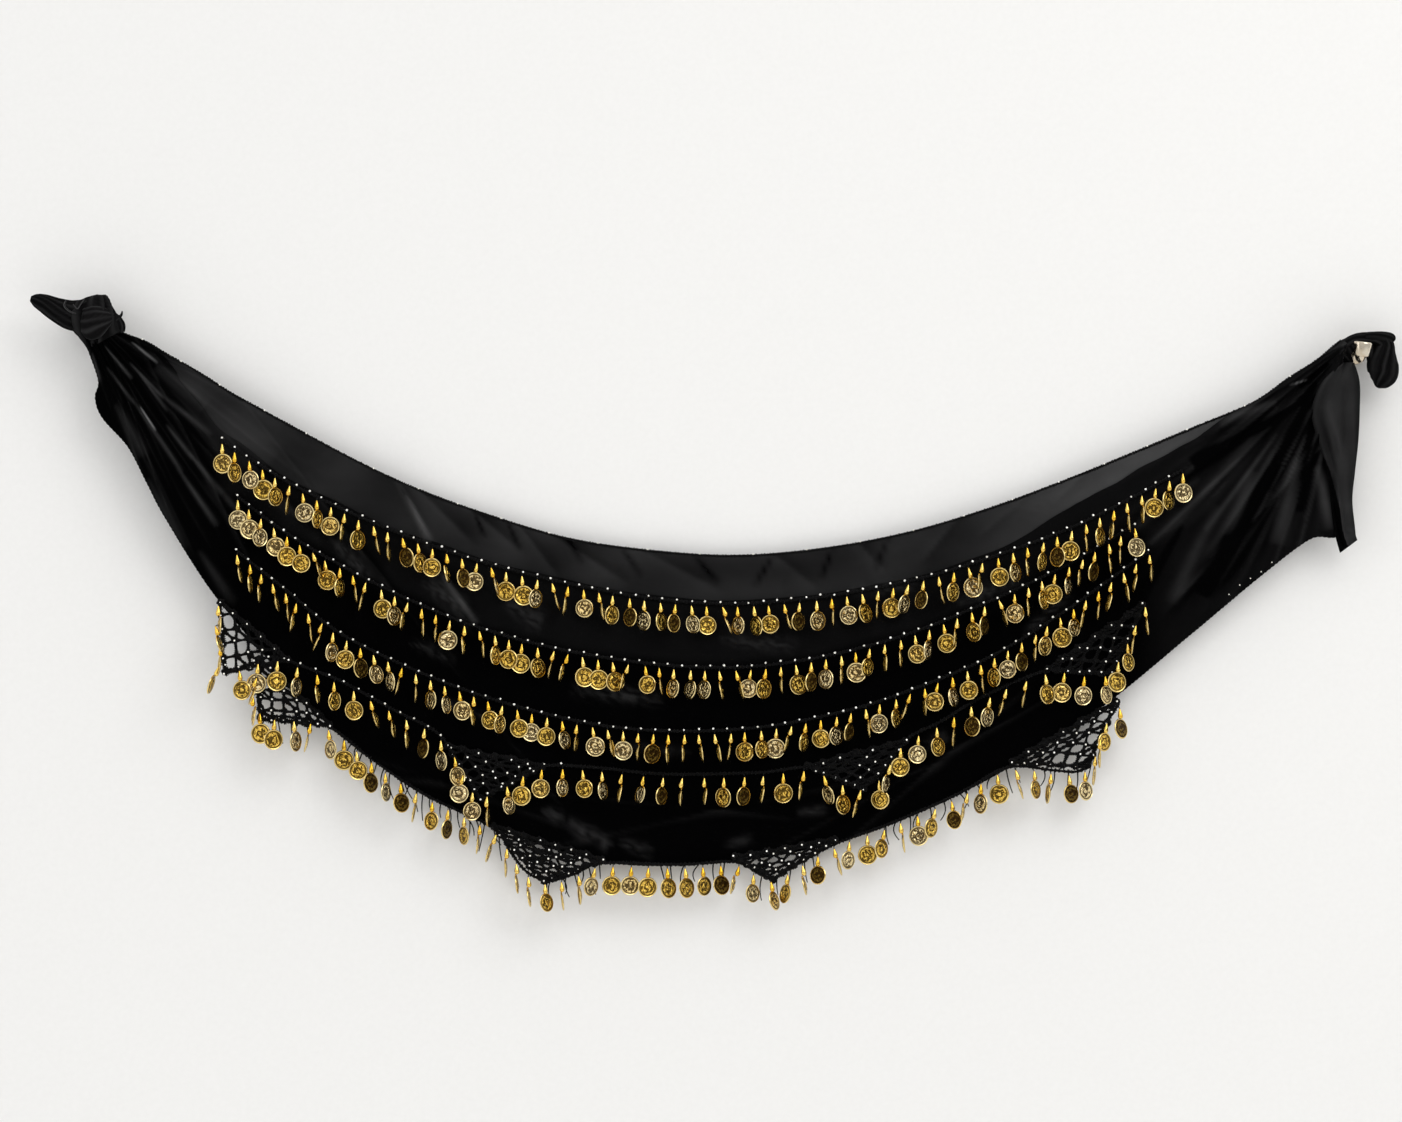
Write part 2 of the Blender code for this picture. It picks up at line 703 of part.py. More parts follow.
def make_net(net, material):
    """A crocheted triangle whose strands run along its two hanging sides, with the gaps cut through."""
    apex = Vector((net.apex_x, net.apex_z))
    to_left = Vector((net.left_x, net.left_z)) - apex
    to_right = Vector((net.right_x, net.right_z)) - apex
    rows = net.mesh_rows
    holes = []
    for i in range(rows):
        for j in range(rows - i):
            cell = [(i, j), (i + 1, j), (i + 1, j + 1), (i, j + 1)]
            if i + j == rows - 1:
                del cell[2]
            corners = [apex + to_left * (a / rows) + to_right * (b / rows) for a, b in cell]
            holes.append([(p.x, p.y) for p in inset(corners, NET_STRAND / 2)])
    border = inset([apex, apex + to_left, apex + to_right], -NET_STRAND / 2)
    outline = []
    for a, b in zip(border, border[1:] + border[:1]):
        outline += [(p.x, p.y) for p in (a.lerp(b, step / rows) for step in range(rows))]
    piece = flat_solid(net.name, outline, holes, NET_THICKNESS, material)
    for vertex in piece.data.vertices:
        side = -1 if vertex.co.y < 0 else 1
        depth = front_of_cloth(vertex.co.x / MM, vertex.co.z / MM) + NET_LAYER + NET_THICKNESS / 2
        vertex.co.y = (side * NET_THICKNESS / 2 - depth) * MM
    return piece


def make_bunch(name, sections, material):
    """A gathered bunch of cloth: pleated rings lofted along a line."""
    bm = bmesh.new()
    rings = []
    for index, section in enumerate(sections):
        behind = sections[max(index - 1, 0)]
        ahead = sections[min(index + 1, len(sections) - 1)]
        run = Vector((ahead.x - behind.x, 0, ahead.z - behind.z)).normalized()
        aside = Vector((-run.z, 0, run.x))
        ring = []
        for k in range(BUNCH_SIDES):
            angle = math.tau * k / BUNCH_SIDES
            swell = 1 + PLEAT_DEPTH * math.cos(BUNCH_PLEATS * angle)
            centre = Vector((section.x, section.y, section.z))
            spread = aside * (section.half_width * math.cos(angle) * swell)
            deep = Vector((0, section.half_depth * math.sin(angle) * swell, 0))
            ring.append(bm.verts.new((centre + spread + deep) * MM))
        rings.append(ring)
    for lower, upper in zip(rings, rings[1:]):
        for k in range(BUNCH_SIDES):
            n = (k + 1) % BUNCH_SIDES
            bm.faces.new((lower[k], lower[n], upper[n], upper[k]))
    bm.faces.new(rings[0])
    bm.faces.new(rings[-1])
    return add_mesh(name, bm, material)


def make_knot_loop(material):
    """The turn of cloth that goes round the left hook behind the knot."""
    bpy.ops.mesh.primitive_torus_add(
        major_radius=KNOT_LOOP_RADIUS * MM,
        minor_radius=KNOT_LOOP_THICKNESS * MM,
        major_segments=KNOT_LOOP_SEGMENTS,
        minor_segments=KNOT_LOOP_SEGMENTS // 2,
        location=metres(LEFT_HOOK_X, -KNOT_LOOP_DEPTH, LEFT_HOOK_Z),
        rotation=(math.radians(90), 0, 0),
    )
    loop = bpy.context.active_object
    loop.name = "left_knot_loop"
    for collection in loop.users_collection:
        collection.objects.unlink(loop)
    scarf_collection.objects.link(loop)
    loop.data.materials.append(material)
    loop.data.shade_smooth()
    return loop


def make_flap(material):
    """The fold of cloth that hangs down beside the right hook, in front of the panel."""
    front = []
    back = []
    for step in range((len(FLAP) - 1) * FLAP_ROWS_PER_TABLE_ROW + 1):
        row = smooth_row(FLAP, step / FLAP_ROWS_PER_TABLE_ROW)
        front_line = []
        back_line = []
        for k in range(FLAP_COLUMNS + 1):
            share = k / FLAP_COLUMNS
            x = row.left_x + (row.right_x - row.left_x) * share
            depth = front_of_cloth(x, row.z) + FLAP_GAP + row.swell * math.sin(math.pi * share)
            front_line.append(metres(x, -depth - CLOTH_THICKNESS, row.z))
            back_line.append(metres(x, -depth, row.z))
        front.append(front_line)
        back.append(back_line)
    return wall_from_grids("right_flap", front, back, material)


def make_knob_hook(name, rings, material):
    """A hook whose arm dips and turns up into a knob: round sections lofted along a line."""
    bm = bmesh.new()
    centres = [Vector((ring.x, ring.y, ring.z)) for ring in rings]
    loops = []
    for index, ring in enumerate(rings):
        ahead = centres[min(index + 1, len(rings) - 1)]
        behind = centres[max(index - 1, 0)]
        run = (ahead - behind).normalized()
        aside = (Vector((1, 0, 0)) - run * run.x).normalized()
        across = run.cross(aside)
        loop = []
        for k in range(HOOK_SIDES):
            angle = math.tau * k / HOOK_SIDES
            spread = aside * (ring.half_width * math.cos(angle)) + across * (ring.half_depth * math.sin(angle))
            loop.append(bm.verts.new((centres[index] + spread) * MM))
        loops.append(loop)
    for lower, upper in zip(loops, loops[1:]):
        for k in range(HOOK_SIDES):
            n = (k + 1) % HOOK_SIDES
            bm.faces.new((lower[k], lower[n], upper[n], upper[k]))
    bm.faces.new(loops[0][::-1])
    bm.faces.new(loops[-1])
    return add_mesh(name, bm, material)


def make_hook(name, x, z, length, material):
    """A turned wall hook: back plate, straight shaft and flared cap."""
    profile = [
        (0.0, length),
        (HOOK_CAP_RADIUS - HOOK_CAP_CHAMFER, length),
        (HOOK_CAP_RADIUS, length - HOOK_CAP_CHAMFER),
        (HOOK_CAP_RADIUS, length - HOOK_CAP_CHAMFER - HOOK_CAP_RIM),
        (HOOK_SHAFT_RADIUS, length - HOOK_CAP_LENGTH),
        (HOOK_SHAFT_RADIUS, HOOK_PLATE_THICKNESS + HOOK_FILLET),
        (HOOK_SHAFT_RADIUS + HOOK_FILLET, HOOK_PLATE_THICKNESS),
        (HOOK_PLATE_RADIUS - HOOK_PLATE_CHAMFER, HOOK_PLATE_THICKNESS),
        (HOOK_PLATE_RADIUS, HOOK_PLATE_THICKNESS - HOOK_PLATE_CHAMFER),
        (HOOK_PLATE_RADIUS, 0.0),
        (0.0, 0.0),
    ]
    mesh = bpy.data.meshes.new(name)
    edges = [(i, i + 1) for i in range(len(profile) - 1)]
    mesh.from_pydata([(radius * MM, 0.0, height * MM) for radius, height in profile], edges, [])
    hook = add_object(name, mesh, material)
    hook.location = metres(x, 0, z)
    hook.rotation_euler = (math.radians(90), 0, 0)
    turning = hook.modifiers.new("turning", "SCREW")
    turning.axis = "Z"
    turning.angle = math.tau
    turning.steps = TURNING_STEPS
    turning.render_steps = TURNING_STEPS
    turning.use_merge_vertices = True
    turning.merge_threshold = 0.00001
    turning.use_smooth_shade = True
    return hook


for old in list(bpy.data.objects):
    bpy.data.objects.remove(old, do_unlink=True)

scarf_collection = bpy.data.collections.new("coin_hip_scarf")
bpy.context.scene.collection.children.link(scarf_collection)

cloth = make_material("sheer_black_cloth", (0.012, 0.012, 0.013), 0.75)
crochet = make_material("black_crochet", (0.01, 0.01, 0.01), 0.8)
coins = make_material("gold_coins", (0.83, 0.6, 0.22), 0.28, 1.0)
metal = make_material("champagne_metal", (0.72, 0.64, 0.52), 0.3, 1.0)

make_panel(cloth)
make_edging(crochet)
for coin_row in COIN_ROWS:
    make_coin_row(coin_row, coins)
for net in NETS:
    make_net(net, crochet)
make_bunch("left_knot", LEFT_KNOT, cloth)
make_bunch("left_tail", LEFT_TAIL, cloth)
make_knot_loop(cloth)
make_bunch("right_tail", RIGHT_TAIL, cloth)
make_flap(cloth)
make_hook("left_hook", LEFT_HOOK_X, LEFT_HOOK_Z, LEFT_HOOK_LENGTH, metal)
make_knob_hook("right_hook", RIGHT_HOOK, metal)
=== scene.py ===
import math
import random
from collections import namedtuple

import bpy
import numpy as np
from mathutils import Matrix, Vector


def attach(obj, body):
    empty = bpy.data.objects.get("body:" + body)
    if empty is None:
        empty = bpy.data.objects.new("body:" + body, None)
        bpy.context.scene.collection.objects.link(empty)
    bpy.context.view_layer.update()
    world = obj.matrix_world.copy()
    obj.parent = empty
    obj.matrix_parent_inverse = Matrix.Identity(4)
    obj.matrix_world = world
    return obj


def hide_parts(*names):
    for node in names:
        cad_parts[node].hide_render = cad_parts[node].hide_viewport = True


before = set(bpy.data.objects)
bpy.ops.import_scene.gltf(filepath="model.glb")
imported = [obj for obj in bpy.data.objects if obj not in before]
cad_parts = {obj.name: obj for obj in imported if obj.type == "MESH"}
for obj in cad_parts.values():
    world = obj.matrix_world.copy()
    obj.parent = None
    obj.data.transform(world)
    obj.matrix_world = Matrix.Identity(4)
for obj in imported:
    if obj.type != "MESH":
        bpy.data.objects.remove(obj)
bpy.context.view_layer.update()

# Sizes and places are in millimetres, in the frame of the part: the wall is Y = 0, the scarf hangs on its
# -Y side, and a depth is a distance in front of the wall.
MM = 0.001

# Cloth. The overlay is its second layer, which lies in front of the panel and lifts off it below its top
# edge; the panel is set back where it is covered.
CHIFFON_THICKNESS = 0.35
OVERLAY_EDGE_LIFT = 0.5
OVERLAY_LIFT = 1.1
OVERLAY_RAMP = 10.0
COVERED_BACK = 1.6
EDGING_ROOM = 1.0
EDGING_RADIUS = 1.2
HEM_RADIUS = 0.42

# How finely the cloth is divided: the step along the hem, and the rows from the top edge down to it.
OPEN_CLOTH_FROM = -790.0
OPEN_CLOTH_TO = -230.0
OPEN_STEP = 4.4
GATHERED_STEP = 2.5
OVERLAY_STEP = 1.9
PANEL_ROWS = 108
OVERLAY_ROWS = 92
OVERLAY_SEARCH_STEPS = 400
EDGE_STEPS = 60
FLAP_ROWS = 110
FLAP_COLUMNS = 34

# Creases: how sharp and how ragged their edges are, and the width and height that are usual
CREASE_EDGE = 2.2
SOFTEST_EDGE = 2.0
SHARPEST_EDGE = 8.0
USUAL_CREASE = 2.2
RAGGED_FROM_WIDTH = 2.5
MOST_RAGGED = 0.85
TRIM_LIFT_SHARE = 0.8

# How light the cloth is painted: 0 is black and 1 the painted grey of the lit wall seen through one layer.
SINGLE_TONE = 0.60
SINGLE_TONE_RIGHT = 1.20
SINGLE_TONE_LEFT = -0.34
DOUBLED_TONE = 0.22
DOUBLED_TONE_SHADED = 0.02
DOUBLED_TONE_RIGHT = 0.20
DOUBLED_TONE_LEFT = 0.05
PLEAT_SHADE = 0.12
FLAP_TONE = 0.74
LIGHTEST_TONE = 10.0

# Coins, beads and crochet
COIN_DIAMETER = 15.0
COIN_THICKNESS = 0.7
COIN_SEGMENTS = 24
DROP_BEAD_LENGTH = 7.5
DROP_BEAD_WIDTH = 3.8
BEAD_OVER_COIN = 0.6
BEAD_BELOW_CHAIN = 2.6
SEED_BEAD_WIDTH = 1.65
KNOT_WIDTH = 4.2
KNOT_HEIGHT = 3.4
CHAIN_RADIUS = 0.75
CHAIN_LAY = 3.4
NET_THREAD_RADIUS = 0.80
NET_BORDER_SWELL = 1.35
NET_LAY = 2.6
NET_STEPS = 8
TAIL_THREAD_RADIUS = 0.55
TAIL_THREAD_STEPS = 6
CHAIN_LAYER = 1.2
NET_LAYER = 0.9
COIN_CLEARANCE = 2.3
COIN_OVER_TRIM_CLEARANCE = 4.2
COIN_STEP_OUT = 1.5
STEEP_STEP_OUT = 2.2
TRIM_REACH = 6.0

# Where a row runs down more steeply than this, its coins hang edge on, one beside the other.
STEEP_RUN = 0.35
STEEP_TURN = 80.0

# The struck relief of a coin is laid on rings of points at these shares of its radius.
COIN_FRONT_RADII = (0.14, 0.30, 0.46, 0.62, 0.72, 0.80, 0.87, 0.94, 0.985, 1.0)
COIN_BACK_RADII = (0.40, 0.74, 0.94, 1.0)

# How pale a coin's gilt is, partly as painted highlight, from 0 for one painted dark in shade to 1
PALE_TINTS = (0.66, 1.0)
GOLD_TINTS = (0.14, 0.60)
TURNED_AWAY_TINT = 0.0

# Turned beads: the distance down as a share of the length, and the radius
DROP_SHAPE = [
    (0.0, 0.35), (0.08, 0.55), (0.25, 0.95), (0.45, 1.40), (0.62, 1.72), (0.75, 1.80), (0.86, 1.62),
    (0.95, 1.05), (1.0, 0.45),
]
DROP_SHAPE_WIDTH = 3.6
SEED_SHAPE = [(-0.42, 0.30), (-0.36, 0.72), (-0.15, 0.98), (0.15, 0.98), (0.36, 0.72), (0.42, 0.30)]

# Steps from one point of a line to the next, and the seeds of the random draws
LINE_STEPS = 16
COIN_SEED = 40
CHAIN_SEED = 100
NET_SEED = 500

# Wall hooks
HOOK_SHAFT_RADIUS = 3.5
HOOK_CAP_RADIUS = 6.3
HOOK_PLATE_RADIUS = 10.0
HOOK_PLATE_THICKNESS = 3.0
HOOK_CAP_LENGTH = 6.0
LEFT_HOOK_LENGTH = 21.0
LEFT_HOOK_X = -945.0
LEFT_HOOK_Z = 23.0
HOOK_STEPS = 64

# The photograph's frame, at the scarf
FRAME_CENTRE_X = -492.0
FRAME_CENTRE_Z = -158.0
FRAME_WIDTH = 1051.5
CAMERA_LENS = 150.0
CAMERA_SENSOR = 36.0
CAMERA_REACH = 60.0
SCARF_PLANE = 20.0

# The stage, in metres
WALL_BACK = 0.0006
WALL_HALF_WIDTH = 5.0
WALL_TOP = 3.5
FLOOR_HALF_WIDTH = 9.0
FLOOR_DEPTH = -1.3

# Lights: place from the middle of the frame, side, power and colour. The last lights the scarf's back
# through the wall.
Lamp = namedtuple("Lamp", "name offset size power colour")
LAMPS = [
    Lamp("key", (1.55, -2.05, 1.75), 1.9, 28.0, (1.0, 0.99, 0.97)),
    Lamp("side", (-2.2, -1.9, 0.5), 1.4, 7.0, (0.96, 0.98, 1.0)),
    Lamp("behind", (-0.6, 2.6, 1.2), 2.0, 30.0, (1.0, 1.0, 1.0)),
]

# Colours
COOL_SHEEN = (0.75, 0.75, 0.8, 1.0)
CHIFFON_BLACK = (0.0005, 0.0005, 0.0006)
# The chiffon's grey is painted light: the lit wall as seen through one layer.
PAINTED_SEE_THROUGH_GREY = (0.25, 0.25, 0.255)
YARN_BLACK = (0.0045, 0.0045, 0.0048)
DEEP_GILT = (0.80, 0.53, 0.10)
# Pale gilt, partly painted highlight of coins that catch the light.
PALE_GILT = (0.88, 0.72, 0.40)
# Painted highlight of the coins' rims.
RIM_HIGHLIGHT_GILT = (0.88, 0.72, 0.36)
# Painted shade: the brown of the coins' hollows and of coins turned from the light.
PAINTED_SHADE_BROWN = (0.045, 0.024, 0.006)
BEAD_GOLD = (0.80, 0.46, 0.03)
PALE_BEAD_GOLD = (0.90, 0.66, 0.18)
GLASS_WHITE = (0.95, 0.95, 0.92)
GLASS_CREAM = (0.80, 0.78, 0.70)
STAINED_PLATING = (0.52, 0.43, 0.31)
CLEAN_PLATING = (0.74, 0.68, 0.57)
WALL_COLOURS = ((0.80, 0.797, 0.79), (0.84, 0.838, 0.832))
FLOOR_COLOURS = ((0.76, 0.757, 0.75), (0.80, 0.797, 0.79))
SURROUND_COLOUR = (1.0, 0.995, 0.985, 1.0)

# In metres: the pitch of the chiffon's weave and the lay of the yarn's plies
WEAVE_PITCH = 0.0011
YARN_LAY = 0.0011


def rows_of(kind, rows):
    """A table whose rows have named columns."""
    return [kind(*row) for row in rows]


# Lines across the panel, from its top edge to its hem
Section = namedtuple("Section", "top_x top_z hem_x hem_z")
SECTIONS = rows_of(Section, [
    (-931, 22, -954, 10), (-925, 14, -950, 0), (-907, 7, -942.5, -23), (-892, -2, -945, -36),
    (-876, -11, -939.5, -51), (-861, -20, -920, -73), (-844, -31, -906, -100), (-824, -42, -893, -125),
    (-784, -64, -860, -178), (-742, -86, -821, -226), (-700, -105, -773, -279), (-650, -123, -709, -327),
    (-592, -140, -639, -361), (-532, -149, -562, -384), (-468, -153, -482, -384.5),
    (-403, -148, -400, -371.5), (-338, -136, -322, -344), (-277, -118, -251, -307), (-220, -97, -187, -264),
    (-166, -75, -125, -213), (-118, -55, -70, -167), (-78, -38, -35, -141), (-52, -20, -13, -136.5),
    (-33, -8, -4, -92), (-22, 1, -9, -28), (-17, 5, -12.5, -7), (-12, 9, -9, -3),
])

StandOff = namedtuple("StandOff", "x depth")
STAND_OFF = rows_of(StandOff, [
    (-960, 29), (-900, 27), (-820, 21), (-700, 14), (-480, 10), (-250, 13), (-100, 18), (-12, 22),
])

# A ridge from start to end, with its half width at each end and its height. The first table has the folds
# that the solids have too, the second the creases between them; a negative height is a trough.
Fold = namedtuple("Fold", "start_x start_z end_x end_z start_width end_width height")
FOLDS = rows_of(Fold, [
    (-934, 12, -790, -84, 2.0, 11.0, 3.0), (-936, 10, -800, -120, 2.2, 10.0, 4.0),
    (-939, 8, -832, -150, 2.0, 10.0, 3.6), (-942, 6, -846, -182, 2.0, 9.0, 4.2),
    (-945, 4, -872, -172, 2.0, 7.0, 3.4), (-948, 2, -900, -122, 2.0, 6.0, 3.0),
    (-715, -110, -655, -232, 9.0, 15.0, 3.0), (-560, -225, -430, -300, 18.0, 14.0, 2.5),
    (-640, -300, -520, -350, 14.0, 18.0, 2.0), (-330, -290, -180, -215, 14.0, 16.0, 2.5),
    (-17, 1, -128, -62, 2.0, 9.0, 3.4), (-16, 0, -150, -112, 2.0, 10.0, 4.0),
    (-15, -2, -142, -166, 2.0, 11.0, 3.6), (-14, -4, -98, -178, 2.0, 9.0, 4.2),
    (-13, -6, -52, -148, 2.2, 8.0, 3.6), (-12, -8, -18, -130, 2.2, 7.0, 3.0),
])
FOLD_FADE_START = 0.55
# How much painted light and painted shade a crease of usual size gives.
CREASE_LIGHT = 0.40
CREASE_DARK = 0.30
CREASES = rows_of(Fold, [
    (-930, 15, -858, -24, 0.9, 2.6, 1.8), (-932, 13, -842, -50, 0.9, 3.4, 2.2),
    (-935, 11, -846, -78, 0.9, 3.0, 2.4), (-937, 9, -828, -112, 0.9, 4.2, 2.2),
    (-939, 8, -858, -112, 0.9, 3.2, 2.4), (-940, 7, -838, -160, 0.9, 4.6, 2.2),
    (-942, 5, -868, -142, 0.9, 3.6, 2.4), (-944, 4, -850, -196, 0.9, 4.6, 2.0),
    (-946, 3, -884, -132, 0.9, 3.2, 2.0), (-948, 1, -896, -120, 0.9, 3.0, 1.8),
    (-949, 0, -926, -62, 0.9, 2.6, 1.6), (-862, -92, -812, -190, 3.0, 7.0, 2.2),
    (-850, -60, -770, -150, 3.0, 8.0, 1.8), (-880, -14, -800, -56, 3.0, 7.0, 1.6),
    (-712, -108, -692, -148, 3.0, 4.5, 2.6), (-688, -162, -658, -222, 3.4, 6.0, 2.8),
    (-690, -118, -658, -150, 5.0, 8.0, -2.2), (-662, -121, -620, -157, 4.0, 7.0, -2.4),
    (-617, -146, -596, -174, 4.0, 6.0, -2.0), (-576, -156, -542, -178, 5.0, 7.0, -2.0),
    (-520, -158, -470, -184, 6.0, 8.0, -1.8), (-430, -158, -400, -182, 6.0, 7.0, -1.8),
    (-372, -146, -350, -170, 5.0, 6.0, -2.0), (-306, -134, -330, -164, 5.0, 7.0, 1.8),
    (-250, -112, -290, -146, 5.0, 6.0, -1.8), (-206, -94, -232, -120, 4.0, 5.0, 1.6),
    (-605, -352, -560, -368, 5.0, 8.0, 1.8), (-594, -344, -572, -372, 3.0, 5.0, 1.6),
    (-470, -345, -400, -352, 5.0, 9.0, 1.6), (-356, -318, -300, -306, 5.0, 9.0, 1.8),
    (-300, -296, -230, -236, 5.0, 9.0, 2.0), (-268, -280, -196, -240, 4.0, 7.0, 1.8),
    (-17, 1, -112, -46, 1.0, 4.0, 2.2), (-17, -1, -138, -82, 1.0, 5.0, 2.6),
    (-17, -3, -170, -128, 1.0, 6.0, 2.2), (-16, -5, -152, -150, 1.0, 6.0, 2.6),
    (-16, -7, -128, -182, 1.0, 6.0, 2.4), (-15, -9, -106, -184, 1.2, 6.0, 2.8),
    (-15, -12, -84, -172, 1.2, 6.0, 2.4), (-14, -16, -60, -152, 1.4, 5.0, 2.2),
    (-13, -22, -38, -134, 1.4, 5.0, 2.2), (-12, -26, -12, -112, 1.4, 4.0, 1.8),
    (-90, -140, -150, -204, 4.0, 7.0, 2.0), (-60, -110, -110, -186, 4.0, 7.0, 2.0),
])

# Fine pleats fanning out from each gathered end, between two directions in degrees, painted lighter on their
# flanks.
Gather = namedtuple("Gather", "x z first_angle last_angle pleats reach light height")
GATHERS = [
    Gather(-938, 12, 338, 280, 15, 210, 0.42, 0.8), Gather(-14, 2, 205, 264, 15, 230, 0.40, 0.8),
]

# Streaks of painted light on lit ridges and where fewer layers show the wall, and of painted shade in
# troughs.
Streak = namedtuple("Streak", "start_x start_z end_x end_z start_width end_width light")
STREAKS = rows_of(Streak, [
    (-918, 6, -898, -10, 0.7, 0.9, 3.4), (-900, -12, -862, -42, 3.0, 7.0, 0.7),
    (-866, -40, -812, -82, 6.0, 12.0, 0.5), (-938, 3, -917, -22, 0.7, 1.2, 1.3),
    (-919, -10, -894, -36, 0.8, 1.4, 1.2), (-900, -30, -858, -64, 1.2, 2.4, 0.8),
    (-912, -18, -891, -46, 0.7, 1.4, 1.1), (-911.6, -42.3, -900.1, -60.2, 0.45, 0.75, 9.0),
    (-936, -13, -916, -40, 0.7, 1.2, 1.0), (-918, -36, -880, -92, 1.0, 1.8, 0.9),
    (-884, -88, -854, -132, 1.2, 2.2, 0.8), (-892, -56, -872, -82, 0.9, 1.6, 0.9),
    (-876, -76, -850, -108, 1.2, 2.2, 0.8), (-856, -100, -822, -142, 1.6, 3.0, 0.6),
    (-930, -40, -908, -80, 2.0, 5.0, 0.4), (-947, -2, -941, -24, 0.8, 1.4, 0.8),
    (-906, -96, -880, -150, 2.0, 5.0, 0.4), (-868, -150, -842, -190, 2.0, 4.0, 0.4),
    (-713, -109, -694, -144, 1.4, 2.6, 1.6), (-687, -166, -660, -206, 1.4, 2.4, 1.5),
    (-612, -344, -596, -352, 3.0, 5.0, 0.5), (-594, -352, -574, -366, 3.5, 6.0, 0.5),
    (-578, -358, -560, -374, 3.0, 5.0, 0.55), (-554, -368, -528, -378, 3.0, 5.0, 0.4),
    (-474, -372, -452, -366, 3.0, 4.0, 0.35), (-690, -262, -640, -282, 3.0, 5.0, 0.35),
    (-560, -296, -500, -302, 3.0, 4.0, 0.35), (-420, -348, -396, -344, 3.0, 4.0, 0.4),
    (-330, -300, -306, -288, 3.0, 5.0, 0.4), (-712, -218, -676, -232, 3.0, 5.0, 0.35),
    (-640, -122, -628, -150, 1.0, 2.4, -0.5), (-598, -134, -580, -160, 1.2, 3.0, -0.5),
    (-556, -142, -536, -170, 1.2, 3.0, -0.4), (-500, -150, -478, -176, 1.2, 3.0, -0.4),
    (-436, -150, -452, -178, 1.2, 2.6, -0.4), (-392, -146, -402, -172, 1.2, 2.6, -0.4),
    (-350, -138, -362, -166, 1.2, 2.6, -0.4), (-664, -118, -654, -140, 1.0, 2.2, -0.5),
    (-478, -216, -420, -222, 4.0, 6.0, 0.4), (-640, -186, -610, -206, 5.0, 8.0, 0.5),
    (-700, -172, -668, -196, 5.0, 8.0, 0.5), (-590, -254, -520, -262, 5.0, 5.0, 0.5),
    (-770, -140, -740, -172, 3.0, 5.0, 0.5), (-380, -180, -330, -176, 4.0, 5.0, 0.4),
    (-300, -190, -250, -170, 4.0, 5.0, 0.5), (-250, -214, -215, -180, 3.0, 5.0, 0.4),
    (-31, -24, -70, -106, 2.0, 4.2, -0.8), (-68, -100, -116, -184, 4.0, 5.5, -0.8),
    (-45, -80, -60, -146, 3.5, 6.0, 0.7), (-32, -34, -42, -122, 2.0, 4.5, -0.5),
    (-30, -86, -20, -135, 3.0, 4.5, 1.0), (-35, -34, -82, -64, 1.4, 3.0, -0.8),
    (-80, -62, -124, -86, 2.6, 5.0, -0.8), (-60, -62, -114, -136, 1.2, 2.2, 0.7),
    (-88, -80, -156, -146, 1.0, 2.0, 0.6), (-50, -26, -37, -22, 0.5, 0.5, 3.0),
    (-60, -38, -104, -54, 2.0, 4.0, 0.6), (-78, -90, -96, -140, 4.0, 6.0, 0.5),
    (-104, -116, -140, -190, 3.0, 5.0, 0.4), (-118, -96, -176, -140, 2.0, 4.0, 0.35),
    (-22, -10, -44, -28, 1.0, 2.0, -0.6), (-130, -130, -168, -196, 1.6, 3.0, -0.35),
])

# The top edge of the second layer of cloth, which hangs in front of the first.
LayerEdge = namedtuple("LayerEdge", "x z")
OVERLAY_EDGE = rows_of(LayerEdge, [
    (-898, 0), (-872, -34), (-850, -62), (-792, -102), (-711, -138), (-629, -164), (-543, -182),
    (-476, -188), (-410, -184), (-335, -171), (-262, -148), (-233, -128), (-211, -115), (-188, -103),
    (-153, -83), (-124, -68), (-101, -52), (-94, -40),
])

LinePoint = namedtuple("LinePoint", "x z")
ROW_1 = rows_of(LinePoint, [
    (-850, -68), (-792, -104), (-711, -140), (-629, -166), (-543, -184), (-476, -190), (-410, -186),
    (-335, -173), (-265, -152), (-203, -128), (-131, -90),
])
ROW_2 = rows_of(LinePoint, [
    (-839, -110), (-795, -142), (-724, -181), (-649, -211), (-567, -230), (-486, -238), (-418, -233),
    (-343, -215), (-275, -188), (-218, -161), (-167, -131),
])
ROW_3 = rows_of(LinePoint, [
    (-839, -151), (-804, -179), (-758, -215), (-677, -252), (-599, -275), (-534, -285), (-458, -284),
    (-393, -273), (-343, -258), (-275, -230), (-215, -193), (-157, -151),
])
ROW_4 = rows_of(LinePoint, [
    (-852, -189), (-851, -215), (-848, -238), (-832, -236), (-812, -230), (-782, -240), (-758, -250),
    (-722, -270), (-694, -284), (-681, -298), (-667, -324), (-657, -334), (-637, -324), (-612, -312),
    (-572, -313), (-520, -318), (-449, -317), (-411, -313), (-388, -323), (-371, -327), (-356, -317),
    (-338, -292), (-313, -279), (-281, -260), (-232, -240), (-204, -242), (-186, -240), (-172, -216),
    (-160, -190),
])
HEM_ROW = rows_of(LinePoint, [
    (-824, -243), (-824, -262), (-819, -273), (-800, -275), (-773, -281), (-741, -305), (-700, -333),
    (-649, -358), (-634, -378), (-622, -392), (-606, -398), (-587, -393), (-566, -385), (-508, -386),
    (-466, -384), (-450, -392), (-438, -396), (-420, -386), (-390, -370), (-349, -355), (-299, -333),
    (-262, -313), (-228, -315), (-210, -316), (-200, -309), (-191, -285), (-179, -266),
])

# The coin rows: the node each replaces, its line, the pitch of its coins and of its seed beads, how far its
# coins clear the cloth, and the share of its length that has seed beads.
CoinRow = namedtuple("CoinRow", "node line coin_pitch bead_pitch clearance beads_until")
COIN_ROWS = [
    CoinRow("coins_row_1", ROW_1, 11.8, 10.8, COIN_CLEARANCE, 1.0),
    CoinRow("coins_row_2", ROW_2, 11.4, 10.6, COIN_CLEARANCE, 1.0),
    CoinRow("coins_row_3", ROW_3, 11.6, 10.8, COIN_CLEARANCE, 1.0),
    CoinRow("coins_row_4", ROW_4, 15.2, 12.0, COIN_OVER_TRIM_CLEARANCE, 0.42),
    CoinRow("coins_hem", HEM_ROW, 13.4, 15.0, COIN_CLEARANCE, 0.0),
]

